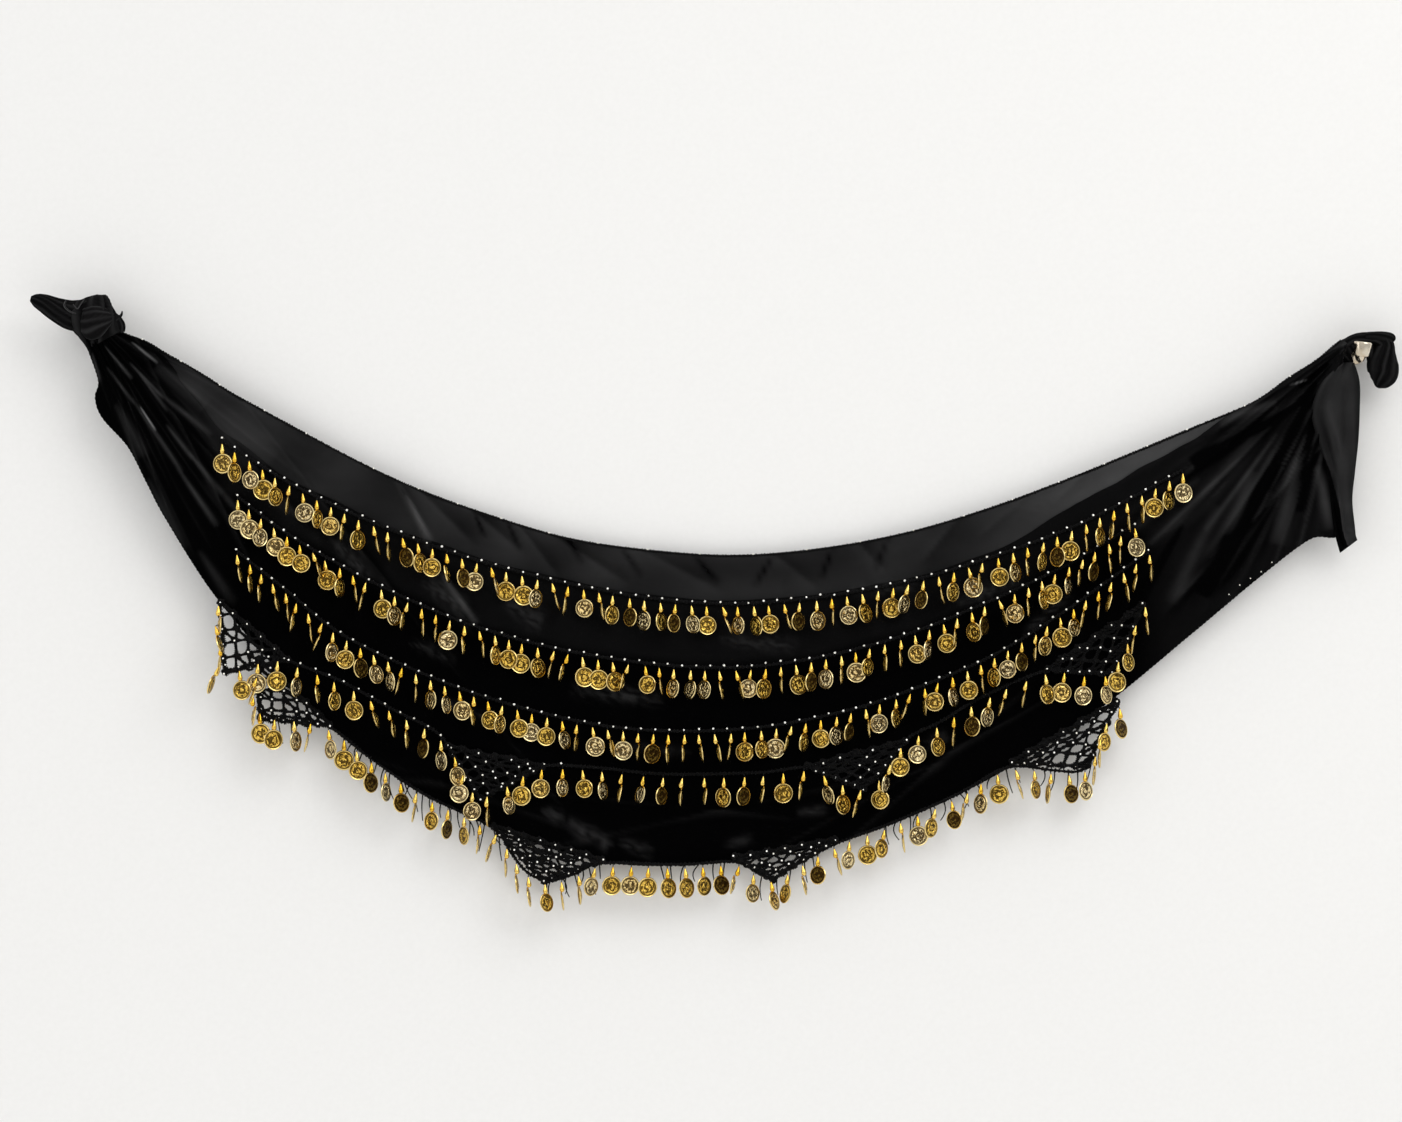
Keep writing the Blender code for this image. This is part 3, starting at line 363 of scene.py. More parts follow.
Net = namedtuple("Net", "name left_x left_z right_x right_z apex_x apex_z mesh_rows")
NETS = [
    Net("net_row4_1", -852, -188, -801, -232, -849, -241, 5),
    Net("net_row4_2", -683, -297, -610, -312, -657, -336, 6),
    Net("net_row4_3", -413, -312, -338, -293, -370, -329, 6),
    Net("net_row4_4", -233, -239, -160, -190, -184, -242, 6),
    Net("net_hem_1", -823, -230, -770, -281, -822, -276, 6),
    Net("net_hem_2", -648, -357, -566, -382, -610, -399, 7),
    Net("net_hem_3", -467, -380, -391, -367, -438, -397, 6),
    Net("net_hem_4", -259, -309, -180, -263, -202, -312, 6),
]

# Where loose thread ends hang from the hem: from and to along X, and how many.
ThreadRun = namedtuple("ThreadRun", "from_x to_x count")
THREAD_RUNS = rows_of(ThreadRun, [
    (-762, -692, 14), (-690, -640, 9), (-612, -566, 8), (-530, -470, 6), (-452, -400, 5), (-360, -250, 12),
    (-240, -196, 5), (-820, -780, 5),
])

# Gathered stretches of cloth: centre, half size across and half depth.
Bunch = namedtuple("Bunch", "x y z half_width half_depth")
LEFT_KNOT = rows_of(Bunch, [
    (-952.6, -31.0, 38.0, 9.5, 3.0), (-951.6, -31.5, 35.4, 13.5, 6.5), (-949.6, -32.0, 31.0, 16.0, 9.5),
    (-946.5, -32.5, 23.4, 17.5, 10.8), (-943.4, -32.0, 17.8, 17.0, 10.0), (-940.4, -31.0, 12.3, 15.2, 8.2),
    (-937.8, -30.5, 7.6, 14.6, 7.4),
])
KNOT_BAND = rows_of(Bunch, [
    (-957.2, -35.0, 17.6, 2.6, 2.0), (-953.8, -37.5, 18.2, 7.0, 3.4), (-949.5, -40.2, 18.8, 11.8, 4.8),
    (-943.0, -41.0, 21.6, 11.6, 5.0), (-937.5, -39.6, 23.6, 8.6, 4.2), (-933.8, -37.6, 24.8, 5.0, 3.0),
    (-931.2, -36.0, 25.4, 2.0, 1.8),
])
KNOT_EAR = rows_of(Bunch, [
    (-956.0, -33.0, 31.0, 5.0, 4.5), (-950.0, -33.5, 34.8, 4.6, 4.5), (-946.4, -33.5, 37.4, 3.2, 3.0),
    (-944.2, -33.5, 40.0, 1.3, 1.4),
])
KNOT_NIB = rows_of(Bunch, [
    (-933.0, -34.5, 20.5, 3.2, 2.4), (-929.4, -34.0, 22.8, 2.2, 1.8), (-926.6, -33.5, 24.6, 1.3, 1.1),
    (-925.2, -33.0, 26.6, 0.9, 0.8), (-924.8, -33.0, 29.0, 0.4, 0.4),
])
KNOT_SIDE = rows_of(Bunch, [
    (-938.0, -31.5, 26.0, 4.5, 3.5), (-932.0, -31.5, 22.0, 5.5, 4.5), (-927.5, -31.0, 17.5, 5.0, 4.5),
    (-926.0, -30.0, 13.0, 3.0, 3.0),
])
LEFT_TAIL = rows_of(Bunch, [
    (-993.2, -35.0, 38.0, 1.8, 2.0), (-989.5, -34.5, 37.0, 4.6, 4.0), (-983.0, -34.0, 34.5, 6.6, 5.2),
    (-974.0, -33.0, 30.0, 8.6, 6.2), (-964.0, -32.0, 26.4, 10.6, 7.0), (-955.0, -31.5, 25.6, 11.6, 7.0),
])
TAIL_WRAP_1 = rows_of(Bunch, [
    (-966.4, -35.0, 37.0, 0.6, 0.7), (-967.4, -39.6, 33.0, 0.7, 0.7), (-965.4, -40.6, 30.0, 0.7, 0.7),
    (-962.0, -41.4, 27.6, 0.6, 0.6), (-958.5, -41.6, 26.6, 0.4, 0.4),
])
TAIL_WRAP_2 = rows_of(Bunch, [
    (-953.0, -37.6, 37.4, 0.6, 0.7), (-955.2, -41.4, 33.4, 0.7, 0.7), (-957.4, -42.0, 30.2, 0.7, 0.7),
    (-960.6, -41.0, 33.6, 0.5, 0.5),
])

# The right hook, from its back plate along its arm to the top of its knob.
HookRing = namedtuple("HookRing", "x y z half_width half_depth")
RIGHT_HOOK = rows_of(HookRing, [
    (0, 0, 0, 0.1, 0.1), (0, -0.01, 0, 10.0, 10.0), (0, -2.0, 0, 10.0, 10.0), (0, -2.7, 0, 9.7, 9.7),
    (0, -3.0, 0, 9.0, 9.0), (0, -3.1, 0, 4.6, 4.6), (0, -3.5, 0, 3.8, 3.8), (0, -4.2, 0, 3.5, 3.5),
    (0, -13.0, 0, 3.45, 3.45), (0, -22.0, 0, 3.4, 3.4), (0, -26.0, -1.0, 3.25, 3.25),
    (0, -29.5, -3.6, 3.0, 3.0), (0.2, -33.0, -6.4, 2.7, 2.7), (0.6, -36.8, -7.6, 2.4, 2.4),
    (1.0, -39.6, -7.2, 2.3, 2.3), (1.2, -40.9, -6.0, 2.25, 2.25), (1.3, -41.1, -5.0, 2.3, 2.3),
    (1.32, -41.2, -4.75, 4.9, 3.9), (1.38, -41.2, -4.3, 5.25, 4.2), (2.15, -41.2, 4.2, 6.85, 5.15),
    (2.25, -41.2, 5.0, 6.7, 5.0), (2.3, -41.2, 5.4, 6.2, 4.5), (2.3, -41.2, 5.45, 0.2, 0.2),
])
KNOT_LOOP_RADIUS = 9.2
KNOT_LOOP_THICKNESS = 4.8
KNOT_LOOP_DEPTH = 11.0
RIGHT_TAIL = rows_of(Bunch, [
    (-14.2, -21.5, -2.2, 5.2, 4.6), (-9.5, -21.5, 2.6, 4.6, 4.8), (-4.0, -21.5, 6.9, 3.9, 5.0),
    (1.5, -21.5, 8.3, 4.3, 5.2), (8.5, -22.0, 8.8, 4.5, 5.6), (15.5, -22.5, 8.2, 5.4, 6.8),
    (20.2, -22.5, 4.6, 6.8, 7.6), (19.6, -22.5, -2.4, 9.0, 8.2), (18.8, -22.5, -10.0, 11.2, 8.4),
    (19.2, -22.5, -17.5, 10.8, 8.0), (17.4, -22.5, -23.4, 8.0, 6.4), (15.6, -22.5, -26.8, 3.6, 4.0),
    (15.0, -22.5, -28.0, 1.2, 1.6),
])
ROLL_END = rows_of(Bunch, [
    (6.0, -24.0, 9.6, 3.0, 4.0), (12.0, -24.5, 9.9, 4.0, 5.0), (18.5, -24.5, 9.6, 4.6, 5.6),
    (23.6, -24.0, 9.2, 4.4, 5.2), (26.4, -23.5, 8.4, 3.2, 4.2), (27.8, -23.2, 7.8, 1.4, 2.0),
])

HOOK_SIDE = rows_of(Bunch, [
    (-15.5, -20.0, 3.0, 2.4, 2.2), (-12.0, -22.0, 2.2, 5.4, 3.0), (-8.5, -23.0, 1.0, 6.8, 3.2),
    (-5.6, -23.0, -0.6, 6.4, 2.6), (-4.2, -22.5, -1.4, 4.6, 1.6),
])
HOOK_UNDER = rows_of(Bunch, [
    (-17.0, -21.0, -2.0, 2.0, 2.0), (-13.0, -22.0, -4.4, 4.2, 3.0), (-8.5, -22.6, -6.8, 4.4, 3.0),
    (-5.4, -22.6, -8.4, 3.2, 2.4), (-3.6, -22.6, -9.4, 1.2, 1.2),
])
LOBE_FOLD = rows_of(Bunch, [
    (9.4, -20.5, 8.2, 2.0, 3.0), (10.2, -20.5, 3.6, 3.4, 4.0), (10.8, -20.5, -3.0, 4.0, 4.6),
    (12.2, -20.5, -10.0, 3.8, 4.6), (13.4, -20.5, -16.0, 2.6, 3.4), (14.0, -20.5, -19.0, 1.0, 1.4),
])

FlapRow = namedtuple("FlapRow", "z left_x right_x swell")
FLAP = rows_of(FlapRow, [
    (-9.5, -11.5, -2.5, 1.0), (-24, -27, 1.5, 3.0), (-46, -35, 1.5, 5.0), (-68, -30, 0.5, 5.0),
    (-91, -23, -2, 4.5), (-112, -20.5, -4, 3.5), (-133, -18, -2, 3.0), (-144, -15.5, -1, 2.5),
    (-152, -13.2, 0, 1.5),
])
FLAP_GAP = 0.7
FLAP_INNER_WIDTH = 6.0
FLAP_INNER_STEP = 0.9
FLAP_SLANT = 10.0
# Creases of the flap: the share across it and the share down it where each starts and ends, half width and
# height.
FlapCrease = namedtuple("FlapCrease", "across down end_across end_down half_width height")
FLAP_CREASES = rows_of(FlapCrease, [
    (0.30, 0.20, 0.55, 0.46, 0.07, 1.6), (0.18, 0.24, 0.30, 0.52, 0.05, -1.6),
    (0.12, 0.50, 0.30, 1.00, 0.07, -2.4), (0.34, 0.55, 0.46, 1.00, 0.06, 1.4),
    (0.55, 0.68, 0.95, 0.64, 0.05, 1.0), (0.50, 0.76, 0.90, 0.78, 0.05, 0.9),
    (0.80, 0.05, 0.90, 0.60, 0.06, 0.9), (0.60, 0.10, 0.62, 0.40, 0.08, -0.9),
])

# Shading

class Shade:
    """A value in a material, so that shading is written as plain sums."""

    def __init__(self, finish, socket):
        self.finish = finish
        self.socket = socket

    def combine(self, operation, first, second=0.0):
        return self.finish.node("ShaderNodeMath", {"operation": operation}, {0: first, 1: second})

    def sine(self):
        return self.combine("SINE", self)

    def __add__(self, other):
        return self.combine("ADD", self, other)

    def __sub__(self, other):
        return self.combine("SUBTRACT", self, other)

    def __mul__(self, other):
        return self.combine("MULTIPLY", self, other)

    def __rsub__(self, other):
        return self.combine("SUBTRACT", other, self)

    __radd__ = __add__
    __rmul__ = __mul__


class Finish:
    """A material whose nodes are added one by one. Fixed values go straight on the shader."""

    def __init__(self, name, **fixed):
        self.material = bpy.data.materials.new(name)
        self.material.use_nodes = True
        self.nodes = self.material.node_tree.nodes
        self.links = self.material.node_tree.links
        self.shader = self.nodes["Principled BSDF"]
        for socket, value in fixed.items():
            self.shader.inputs[socket.replace("_", " ")].default_value = value

    def node(self, kind, settings=None, sockets=None, output=0):
        """One node: its settings first, then the numbers or shades of its sockets."""
        node = self.nodes.new(kind)
        for key, value in (settings or {}).items():
            setattr(node, key, value)
        for key, value in (sockets or {}).items():
            if isinstance(value, Shade):
                self.links.new(value.socket, node.inputs[key])
            else:
                node.inputs[key].default_value = value
        return Shade(self, node.outputs[output])

    def feed(self, socket, shade):
        self.links.new(shade.socket, self.shader.inputs[socket])

    def mix(self, share, first, second):
        """A colour between two colours."""
        sockets = {0: share, 6: rgba(first), 7: rgba(second)}
        return self.node("ShaderNodeMix", {"data_type": "RGBA"}, sockets, output=2)

    def clamp(self, value, low=0.0, high=1.0):
        return self.node("ShaderNodeClamp", None, {"Value": value, "Min": low, "Max": high})

    def place(self, kind="Object"):
        """The place of a point on its object, in metres, or its place in the flat pattern."""
        return self.node("ShaderNodeTexCoord", None, None, output=kind)

    def part(self, vector, axis):
        return self.node("ShaderNodeSeparateXYZ", None, {0: vector}, output=axis)

    def stretched(self, vector, scale):
        settings = {"operation": "MULTIPLY"}
        return self.node("ShaderNodeVectorMath", settings, {0: vector, 1: scale})

    def noise(self, vector, scale, detail=3.0, roughness=0.5, distortion=0.0):
        sockets = {"Vector": vector, "Scale": scale, "Detail": detail, "Roughness": roughness}
        sockets["Distortion"] = distortion
        return self.node("ShaderNodeTexNoise", None, sockets)

    def ramp(self, value, low, high):
        """0 below low, 1 above high, soft between."""
        settings = {"interpolation_type": "SMOOTHSTEP"}
        return self.node("ShaderNodeMapRange", settings, {"Value": value, "From Min": low, "From Max": high})

    def bump(self, height, strength, distance):
        sockets = {"Height": height, "Strength": strength, "Distance": distance}
        return self.node("ShaderNodeBump", None, sockets)

    def tint(self):
        """The number that each point carries: how light the cloth is painted, or which look a coin or a bead
        has.
        """
        return self.node("ShaderNodeAttribute", {"attribute_name": "tint"}, None, output="Fac")


def rgba(colour):
    """A colour with full opacity; a shade stays as it is."""
    return colour if isinstance(colour, Shade) else (*colour, 1.0)


def chiffon(name, opacity, shine, sheen):
    """Sheer crinkled chiffon: fine weave, soft crinkle, and a painted light grey where fewer layers lie on
    each other.
    """
    finish = Finish(
        name, Specular_IOR_Level=shine, Sheen_Weight=sheen, Sheen_Roughness=0.4, Sheen_Tint=COOL_SHEEN,
    )
    pattern = finish.place("UV")
    tone = finish.tint()
    warp = (finish.part(pattern, "X") * (math.tau / WEAVE_PITCH)).sine()
    weft = (finish.part(pattern, "Y") * (math.tau / WEAVE_PITCH)).sine()
    place = finish.place()
    crinkle = finish.noise(finish.stretched(place, (1.0, 1.0, 0.6)), 130.0, 2.0, 0.5, 0.5)
    soft = finish.noise(finish.stretched(place, (1.0, 1.0, 1.6)), 22.0, 3.0, 0.55, 0.8)
    # Painted light and shade: the tone of each point lifts the black toward the painted see-through grey.
    light = finish.clamp(tone * (0.07 + soft * 0.06))
    finish.feed("Base Color", finish.mix(light, CHIFFON_BLACK, PAINTED_SEE_THROUGH_GREY))
    finish.feed("Roughness", 0.48 + crinkle * 0.24)
    finish.feed("Alpha", finish.clamp(opacity - tone * 0.015 + crinkle * 0.008))
    height = (warp + weft) * 0.03 + crinkle * 0.30 + soft * 1.4
    finish.feed("Normal", finish.bump(height, 0.45, 0.0008))
    return finish.material


def yarn(name, colour, ply):
    """Matt twisted yarn, with the lay of its plies along the thread."""
    finish = Finish(name, Sheen_Weight=0.02, Sheen_Roughness=0.5, Specular_IOR_Level=0.08)
    pattern = finish.place("UV")
    lay = (finish.part(pattern, "X") * (math.tau / ply) + finish.part(pattern, "Y") * math.tau).sine()
    fuzz = finish.noise(finish.place(), 900.0, 2.0)
    dark = tuple(part * 0.45 for part in colour)
    # Painted shade in the grooves between the plies, mixed with the fuzz's uneven tone.
    finish.feed("Base Color", finish.mix(finish.clamp(lay * 0.3 + fuzz), dark, colour))
    finish.feed("Roughness", 0.68 + fuzz * 0.2)
    finish.feed("Normal", finish.bump(lay * 0.5 + fuzz, 0.6, 0.0003))
    return finish.material


def struck_gilt(name):
    """Thin stamped gilt: bright ridges, painted rim highlight and hollow shade, pale coins and coins painted
    dark.
    """
    finish = Finish(name, Metallic=1.0)
    flat = finish.place("UV")
    tint = finish.tint()
    radius = finish.node("ShaderNodeVectorMath", {"operation": "LENGTH"}, {0: flat}, output="Value")
    swirl = finish.node(
        "ShaderNodeTexNoise", {"noise_dimensions": "4D"},
        {"Vector": flat, "W": tint * 37.0, "Scale": 2.1, "Detail": 1.0, "Distortion": 1.0},
    )
    lines = (radius * 11.0 + swirl * 15.0).sine()
    field = 1.0 - finish.ramp(radius, 0.70, 0.76)
    moat = finish.ramp(radius, 0.72, 0.78) * (1.0 - finish.ramp(radius, 0.83, 0.89))
    rim = finish.ramp(radius, 0.85, 0.90)
    relief = lines * field
    wear = finish.noise(finish.place(), 420.0, 3.0, 0.6)
    # Painted shade in the hollows of the relief and in the moat.
    hollow_shade = finish.clamp(finish.ramp(relief * -1.0, -0.15, 0.6) + moat)
    # Pale gilt that partly stands in for painted highlight on coins that face the light.
    bright = finish.mix(finish.ramp(tint, 0.5, 0.8), DEEP_GILT, PALE_GILT)
    # Painted highlight on the rim.
    bright = finish.mix(rim * 0.6, bright, RIM_HIGHLIGHT_GILT)
    # Painted shade: coins hung at a slant are made dark, as if turned from the light, all but the rim.
    turned_away_shade = (1.0 - finish.ramp(tint, 0.04, 0.12)) * (1.0 - rim)
    shade = finish.clamp(hollow_shade * 0.92 + turned_away_shade * 0.84)
    finish.feed("Base Color", finish.mix(shade, bright, PAINTED_SHADE_BROWN))
    finish.feed("Roughness", finish.clamp(0.12 + hollow_shade * 0.22 + wear * 0.12 + turned_away_shade * 0.2))
    finish.feed("Normal", finish.bump(relief * 0.7 + wear * 0.1, 1.0, 0.0008))
    return finish.material


def polished_gilt(name):
    """Glossy gold of the drop beads, a little uneven."""
    finish = Finish(name, Metallic=1.0)
    wear = finish.noise(finish.place(), 500.0, 2.0)
    finish.feed("Base Color", finish.mix(finish.tint(), BEAD_GOLD, PALE_BEAD_GOLD))
    finish.feed("Roughness", 0.08 + wear * 0.16)
    finish.feed("Normal", finish.bump(wear, 0.55, 0.0004))
    return finish.material


def lined_glass(name):
    """White seed beads with a silver gleam and a faint painted glow."""
    # Emission gives the beads a faint painted glow.
    finish = Finish(name, Metallic=0.35, Coat_Roughness=0.05, Emission_Strength=0.25)
    wear = finish.noise(finish.place(), 800.0, 2.0)
    colour = finish.mix(finish.tint(), GLASS_WHITE, GLASS_CREAM)
    finish.feed("Base Color", colour)
    finish.feed("Emission Color", colour)
    finish.feed("Roughness", 0.12 + wear * 0.15)
    finish.feed("Coat Weight", 0.5 + wear * 0.5)
    return finish.material


def champagne_plating(name):
    """Satin plated metal with fine turning marks and a few stains."""
    finish = Finish(name, Metallic=1.0)
    place = finish.place()
    turning = finish.noise(finish.stretched(place, (900.0, 60.0, 60.0)), 1.0, 3.0)
    clean = finish.ramp(finish.noise(place, 90.0, 3.0), 0.35, 0.7)
    finish.feed("Base Color", finish.mix(clean, STAINED_PLATING, CLEAN_PLATING))
    finish.feed("Roughness", 0.14 + turning * 0.12)
    finish.feed("Normal", finish.bump(turning, 0.04, 0.0001))
    return finish.material


def plaster(name):
    """The pale wall, seen from its front only, so that the back of the scarf can be looked at."""
    finish = Finish(name, Roughness=0.9)
    grain = finish.noise(finish.place(), 260.0, 4.0)
    finish.feed("Base Color", finish.mix(grain, *WALL_COLOURS))
    finish.feed("Normal", finish.bump(grain, 0.08, 0.0006))
    behind = finish.node("ShaderNodeNewGeometry", None, None, output="Backfacing")
    clear = finish.node("ShaderNodeBsdfTransparent")
    solid = Shade(finish, finish.shader.outputs[0])
    whole = finish.node("ShaderNodeMixShader", None, {0: behind, 1: solid, 2: clear})
    finish.links.new(whole.socket, finish.nodes["Material Output"].inputs["Surface"])
    return finish.material


def matt_floor(name):
    finish = Finish(name, Roughness=0.85)
    grain = finish.noise(finish.place(), 40.0, 3.0)
    finish.feed("Base Color", finish.mix(grain, *FLOOR_COLOURS))
    return finish.material


# Shapes

def smooth_row(rows, at):
    """A row of a table at a fractional row number, on a smooth curve through its rows."""
    last = len(rows) - 1
    first = min(int(at), last - 1)
    t = at - first
    before = rows[max(first - 1, 0)]
    after = rows[min(first + 2, last)]
    values = []
    for a, b, c, d in zip(before, rows[first], rows[first + 1], after):
        bend = (2 * a - 5 * b + 4 * c - d) * t * t + (3 * b - a - 3 * c + d) * t**3
        values.append(0.5 * (2 * b + (c - a) * t + bend))
    return type(rows[first])(*values)


def ease(t, softness=1.0):
    """t held between 0 and 1, with a soft start and end."""
    t = np.clip(t, 0.0, 1.0)
    return t + softness * (t * t * (3 - 2 * t) - t)


def smooth_between(rows, x):
    """The second column of a two-column table at x, eased from row to row."""
    low = np.array([row[0] for row in rows], float)
    values = np.array([row[1] for row in rows], float)
    k = np.clip(np.searchsorted(low, x) - 1, 0, len(rows) - 2)
    return values[k] + (values[k + 1] - values[k]) * ease((x - low[k]) / (low[k + 1] - low[k]), 0.5)


def smoothed(values, reach):
    """Each value made the mean of its neighbours up to a reach to each side."""
    window = np.ones(2 * reach + 1) / (2 * reach + 1)
    return np.convolve(np.pad(values, reach, mode="edge"), window, mode="valid")


def span(line, x, z):
    """How far along a line points lie, as a share, how far aside, and how wide half the line is there."""
    run_x = line.end_x - line.start_x
    run_z = line.end_z - line.start_z
    length = math.hypot(run_x, run_z)
    off_x = x - line.start_x
    off_z = z - line.start_z
    along = (off_x * run_x + off_z * run_z) / length**2
    aside = (off_x * run_z - off_z * run_x) / length
    half_width = line.start_width + (line.end_width - line.start_width) * np.clip(along, 0.0, 1.0)
    return along, aside, half_width


def end_fade(along):
    """1 along the first half of a fold, down to 0 at its end."""
    return 1 - ease((along - FOLD_FADE_START) / (1 - FOLD_FADE_START))


def fold_height(fold, x, z):
    """How far a fold lifts the cloth: a rounded ridge that fades toward its end."""
    along, aside, half_width = span(fold, x, z)
    return fold.height * end_fade(along) * np.exp(-((aside / half_width) ** 2))


def streak_light(streak, x, z):
    """The painted light or shade of a streak. A broad one on the open cloth is broken up into patches."""
    along, aside, half_width = span(streak, x, z)
    window = np.sqrt(np.sin(math.pi * np.clip(along, 0.0, 1.0)))
    bent = 2.4 * np.sin(0.23 * x - 0.35 * z) + 1.3 * np.sin(0.71 * z)
    ragged = 0.5 + 0.5 * np.sin(0.55 * x + 0.31 * z + bent)
    share = 0.0
    if OPEN_CLOTH_FROM < streak.start_x < OPEN_CLOTH_TO:
        share = min(max(streak.end_width - RAGGED_FROM_WIDTH, 0.0) / 3.0, MOST_RAGGED)
    return streak.light * window * np.exp(-((aside / half_width) ** 2)) * (1 - share + share * 1.6 * ragged)


def crease_light(crease, x, z):
    """A crease's painted light and shade: lighter on one flank, where the cloth is drawn thin, darker where
    doubled.
    """
    along, aside, half_width = span(crease, x, z)
    share = aside / half_width
    edge = np.clip(np.clip(CREASE_EDGE * half_width, SOFTEST_EDGE, SHARPEST_EDGE) * share, -40, 40)
    lit_flank = np.exp(-1.5 * np.maximum(share, 0)) / (1 + np.exp(-edge))
    # The doubled flank gets painted shade.
    doubled = np.exp(-1.2 * np.maximum(-share, 0)) / (1 + np.exp(edge))
    strength = abs(crease.height) / USUAL_CREASE * end_fade(along)
    return strength * (CREASE_LIGHT * lit_flank - CREASE_DARK * doubled)


def gather_wave(gather, x, z):
    """The fine pleats of one gathered end, 0 to 1: each rises slowly and drops at a sharper edge."""
    distance = np.hypot(x - gather.x, z - gather.z)
    angle = np.mod(np.degrees(np.arctan2(z - gather.z, x - gather.x)), 360)
    share = (angle - gather.first_angle) / (gather.last_angle - gather.first_angle)
    pleat = share * gather.pleats + 0.55 * np.sin(8.3 * share) + 0.3 * np.sin(21 * share + 1)
    pleat = pleat + 0.35 * np.sin(distance / 37 + 3 * share)
    rise = pleat - np.floor(pleat)
    strength = 0.55 + 0.45 * np.sin(2.7 * np.floor(pleat) + 0.6)
    window = np.clip(1 - distance / gather.reach, 0.0, 1.0) ** 0.7 * ((share > 0) & (share < 1))
    window = window * np.clip((distance - 25) / 70, 0.3, 1.0)
    drop = np.clip(48 / (distance + 1), 0.2, 0.5)
    return strength * window * np.minimum((rise / (1 - drop)) ** 2.2, (1 - rise) / drop)


def doubled_tone(x, z):
    """The layered cloth: dark, painted lighter above the second coin row and darker below, even at its two
    ends.
    """
    # Below the second coin row the wall behind lies in the scarf's own shadow, painted here as shade.
    low = np.clip((smooth_between(ROW_2, x) - z) / 14 + 0.4, 0.0, 1.0)
    cloud = np.sin(0.037 * x + 0.051 * z + 2.1 * np.sin(0.019 * x - 0.043 * z))
    tone = DOUBLED_TONE + (DOUBLED_TONE_SHADED - DOUBLED_TONE + 0.02 * cloud) * low
    tone = tone + (DOUBLED_TONE_RIGHT - tone) * ease((x + 190) / 60)
    return tone + (DOUBLED_TONE_LEFT - tone) * ease((-842 - x) / 36)


def single_tone(x):
    """One layer, in its painted see-through grey: pale to the right of the middle, darker toward both ends.
    """
    right = ease((x + 310) / 130) * (1 - ease((x + 112) / 24))
    left = ease((-870 - x) / 30)
    return SINGLE_TONE + SINGLE_TONE_RIGHT * right + SINGLE_TONE_LEFT * left


def cloth_tone(x, z, doubled):
    """How light the cloth is painted: 0 is black, 1 the grey of one layer over the pale wall."""
    tone = doubled_tone(x, z) if doubled else single_tone(x)
    tone = tone + sum(crease_light(crease, x, z) for crease in CREASES)
    # Painted light on the pleat flanks, with painted shade between them.
    tone = tone + sum(gather.light * (gather_wave(gather, x, z) - PLEAT_SHADE) for gather in GATHERS)
    # Painted shade of soft diagonal folds, where the cloth is lighter.
    ripple = np.sin(0.043 * x - 0.11 * z + 2.0 * np.sin(0.021 * x + 0.037 * z))
    tone = tone + 0.12 * ripple * (tone > 0.2)
    streaks = sum(streak_light(streak, x, z) for streak in STREAKS)
    return np.clip(np.maximum(tone, 0.0) + streaks, 0.0, LIGHTEST_TONE)


def crinkle(x, z):
    """Small uneven waves, which fade where the cloth is gathered."""
    slow = np.sin(0.052 * x - 0.031 * z + 1.9 * np.sin(0.017 * x + 0.029 * z))
    quick = np.sin(0.139 * x + 0.083 * z + 2.3 * np.sin(0.041 * z - 0.023 * x))
    fine = np.sin(0.31 * x - 0.19 * z + 2.1 * np.sin(0.083 * x + 0.061 * z))
    calm = np.clip(np.minimum(x + 940, -x) / 120, 0.0, 1.0)
    return calm * (0.55 * slow + 0.42 * quick * slow + 0.16 * fine * quick)


def cloth_depth(x, z):
    """Distance from the wall to the front of the cloth, with its largest folds."""
    return smooth_between(STAND_OFF, x) + sum(fold_height(fold, x, z) for fold in FOLDS)


def chiffon_depth(x, z):
    """Distance from the wall to the front of the panel, with its creases, pleats and crinkle too."""
    pleats = sum(gather.height * gather_wave(gather, x, z) for gather in GATHERS)
    creases = sum(fold_height(crease, x, z) for crease in CREASES)
    return cloth_depth(x, z) + creases + crinkle(x, z) + pleats


def depth_at(x, z):
    """The panel's distance from the wall at one place."""
    return float(chiffon_depth(np.array(x), np.array(z)))


def front_of_cloth(x, z):
    """Distance from the wall that clears the cloth all round a point."""
    grid_x, grid_z = np.meshgrid([x - TRIM_REACH, x, x + TRIM_REACH], [z - TRIM_REACH, z, z + TRIM_REACH])
    return float(np.max(cloth_depth(grid_x, grid_z))) + OVERLAY_LIFT * TRIM_LIFT_SHARE


def metres(x, depth, z):
    """A place in metres, from millimetres and a distance in front of the wall."""
    return Vector((x * MM, -depth * MM, z * MM))


class Heap:
    """Points and faces of many small things that make one piece."""

    def __init__(self):
        self.points = []
        self.faces = []
        self.uvs = []
        self.tints = []
        self.count = 0

    def add(self, points, faces, uvs, tint=0.5):
        """One more thing: points in metres, faces, flat places, and one tint or one for each point."""
        points = np.asarray(points, float)
        self.faces += [tuple(index + self.count for index in face) for face in faces]
        self.points.append(points)
        self.uvs.append(np.asarray(uvs, float))
        self.tints.append(np.broadcast_to(np.asarray(tint, float), len(points)))
        self.count += len(points)

    def piece(self, name, material, slot):
        """All that was added, as one object that rides on the part."""
        mesh = bpy.data.meshes.new(name)
        mesh.from_pydata(np.concatenate(self.points).tolist(), [], self.faces)
        mesh.materials.append(material)
        corners = np.zeros(len(mesh.loops), np.int32)
        mesh.loops.foreach_get("vertex_index", corners)
        layer = mesh.uv_layers.new(name="UVMap")
        layer.data.foreach_set("uv", np.concatenate(self.uvs)[corners].astype(np.float32).ravel())
        tint = mesh.attributes.new("tint", "FLOAT", "POINT")
        tint.data.foreach_set("value", np.concatenate(self.tints).astype(np.float32))
        mesh.shade_smooth()
        mesh.set_sharp_from_angle(angle=math.radians(40))
        made = bpy.data.objects.new(name, mesh)
        bpy.context.scene.collection.objects.link(made)
        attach(made, "root")
        return made


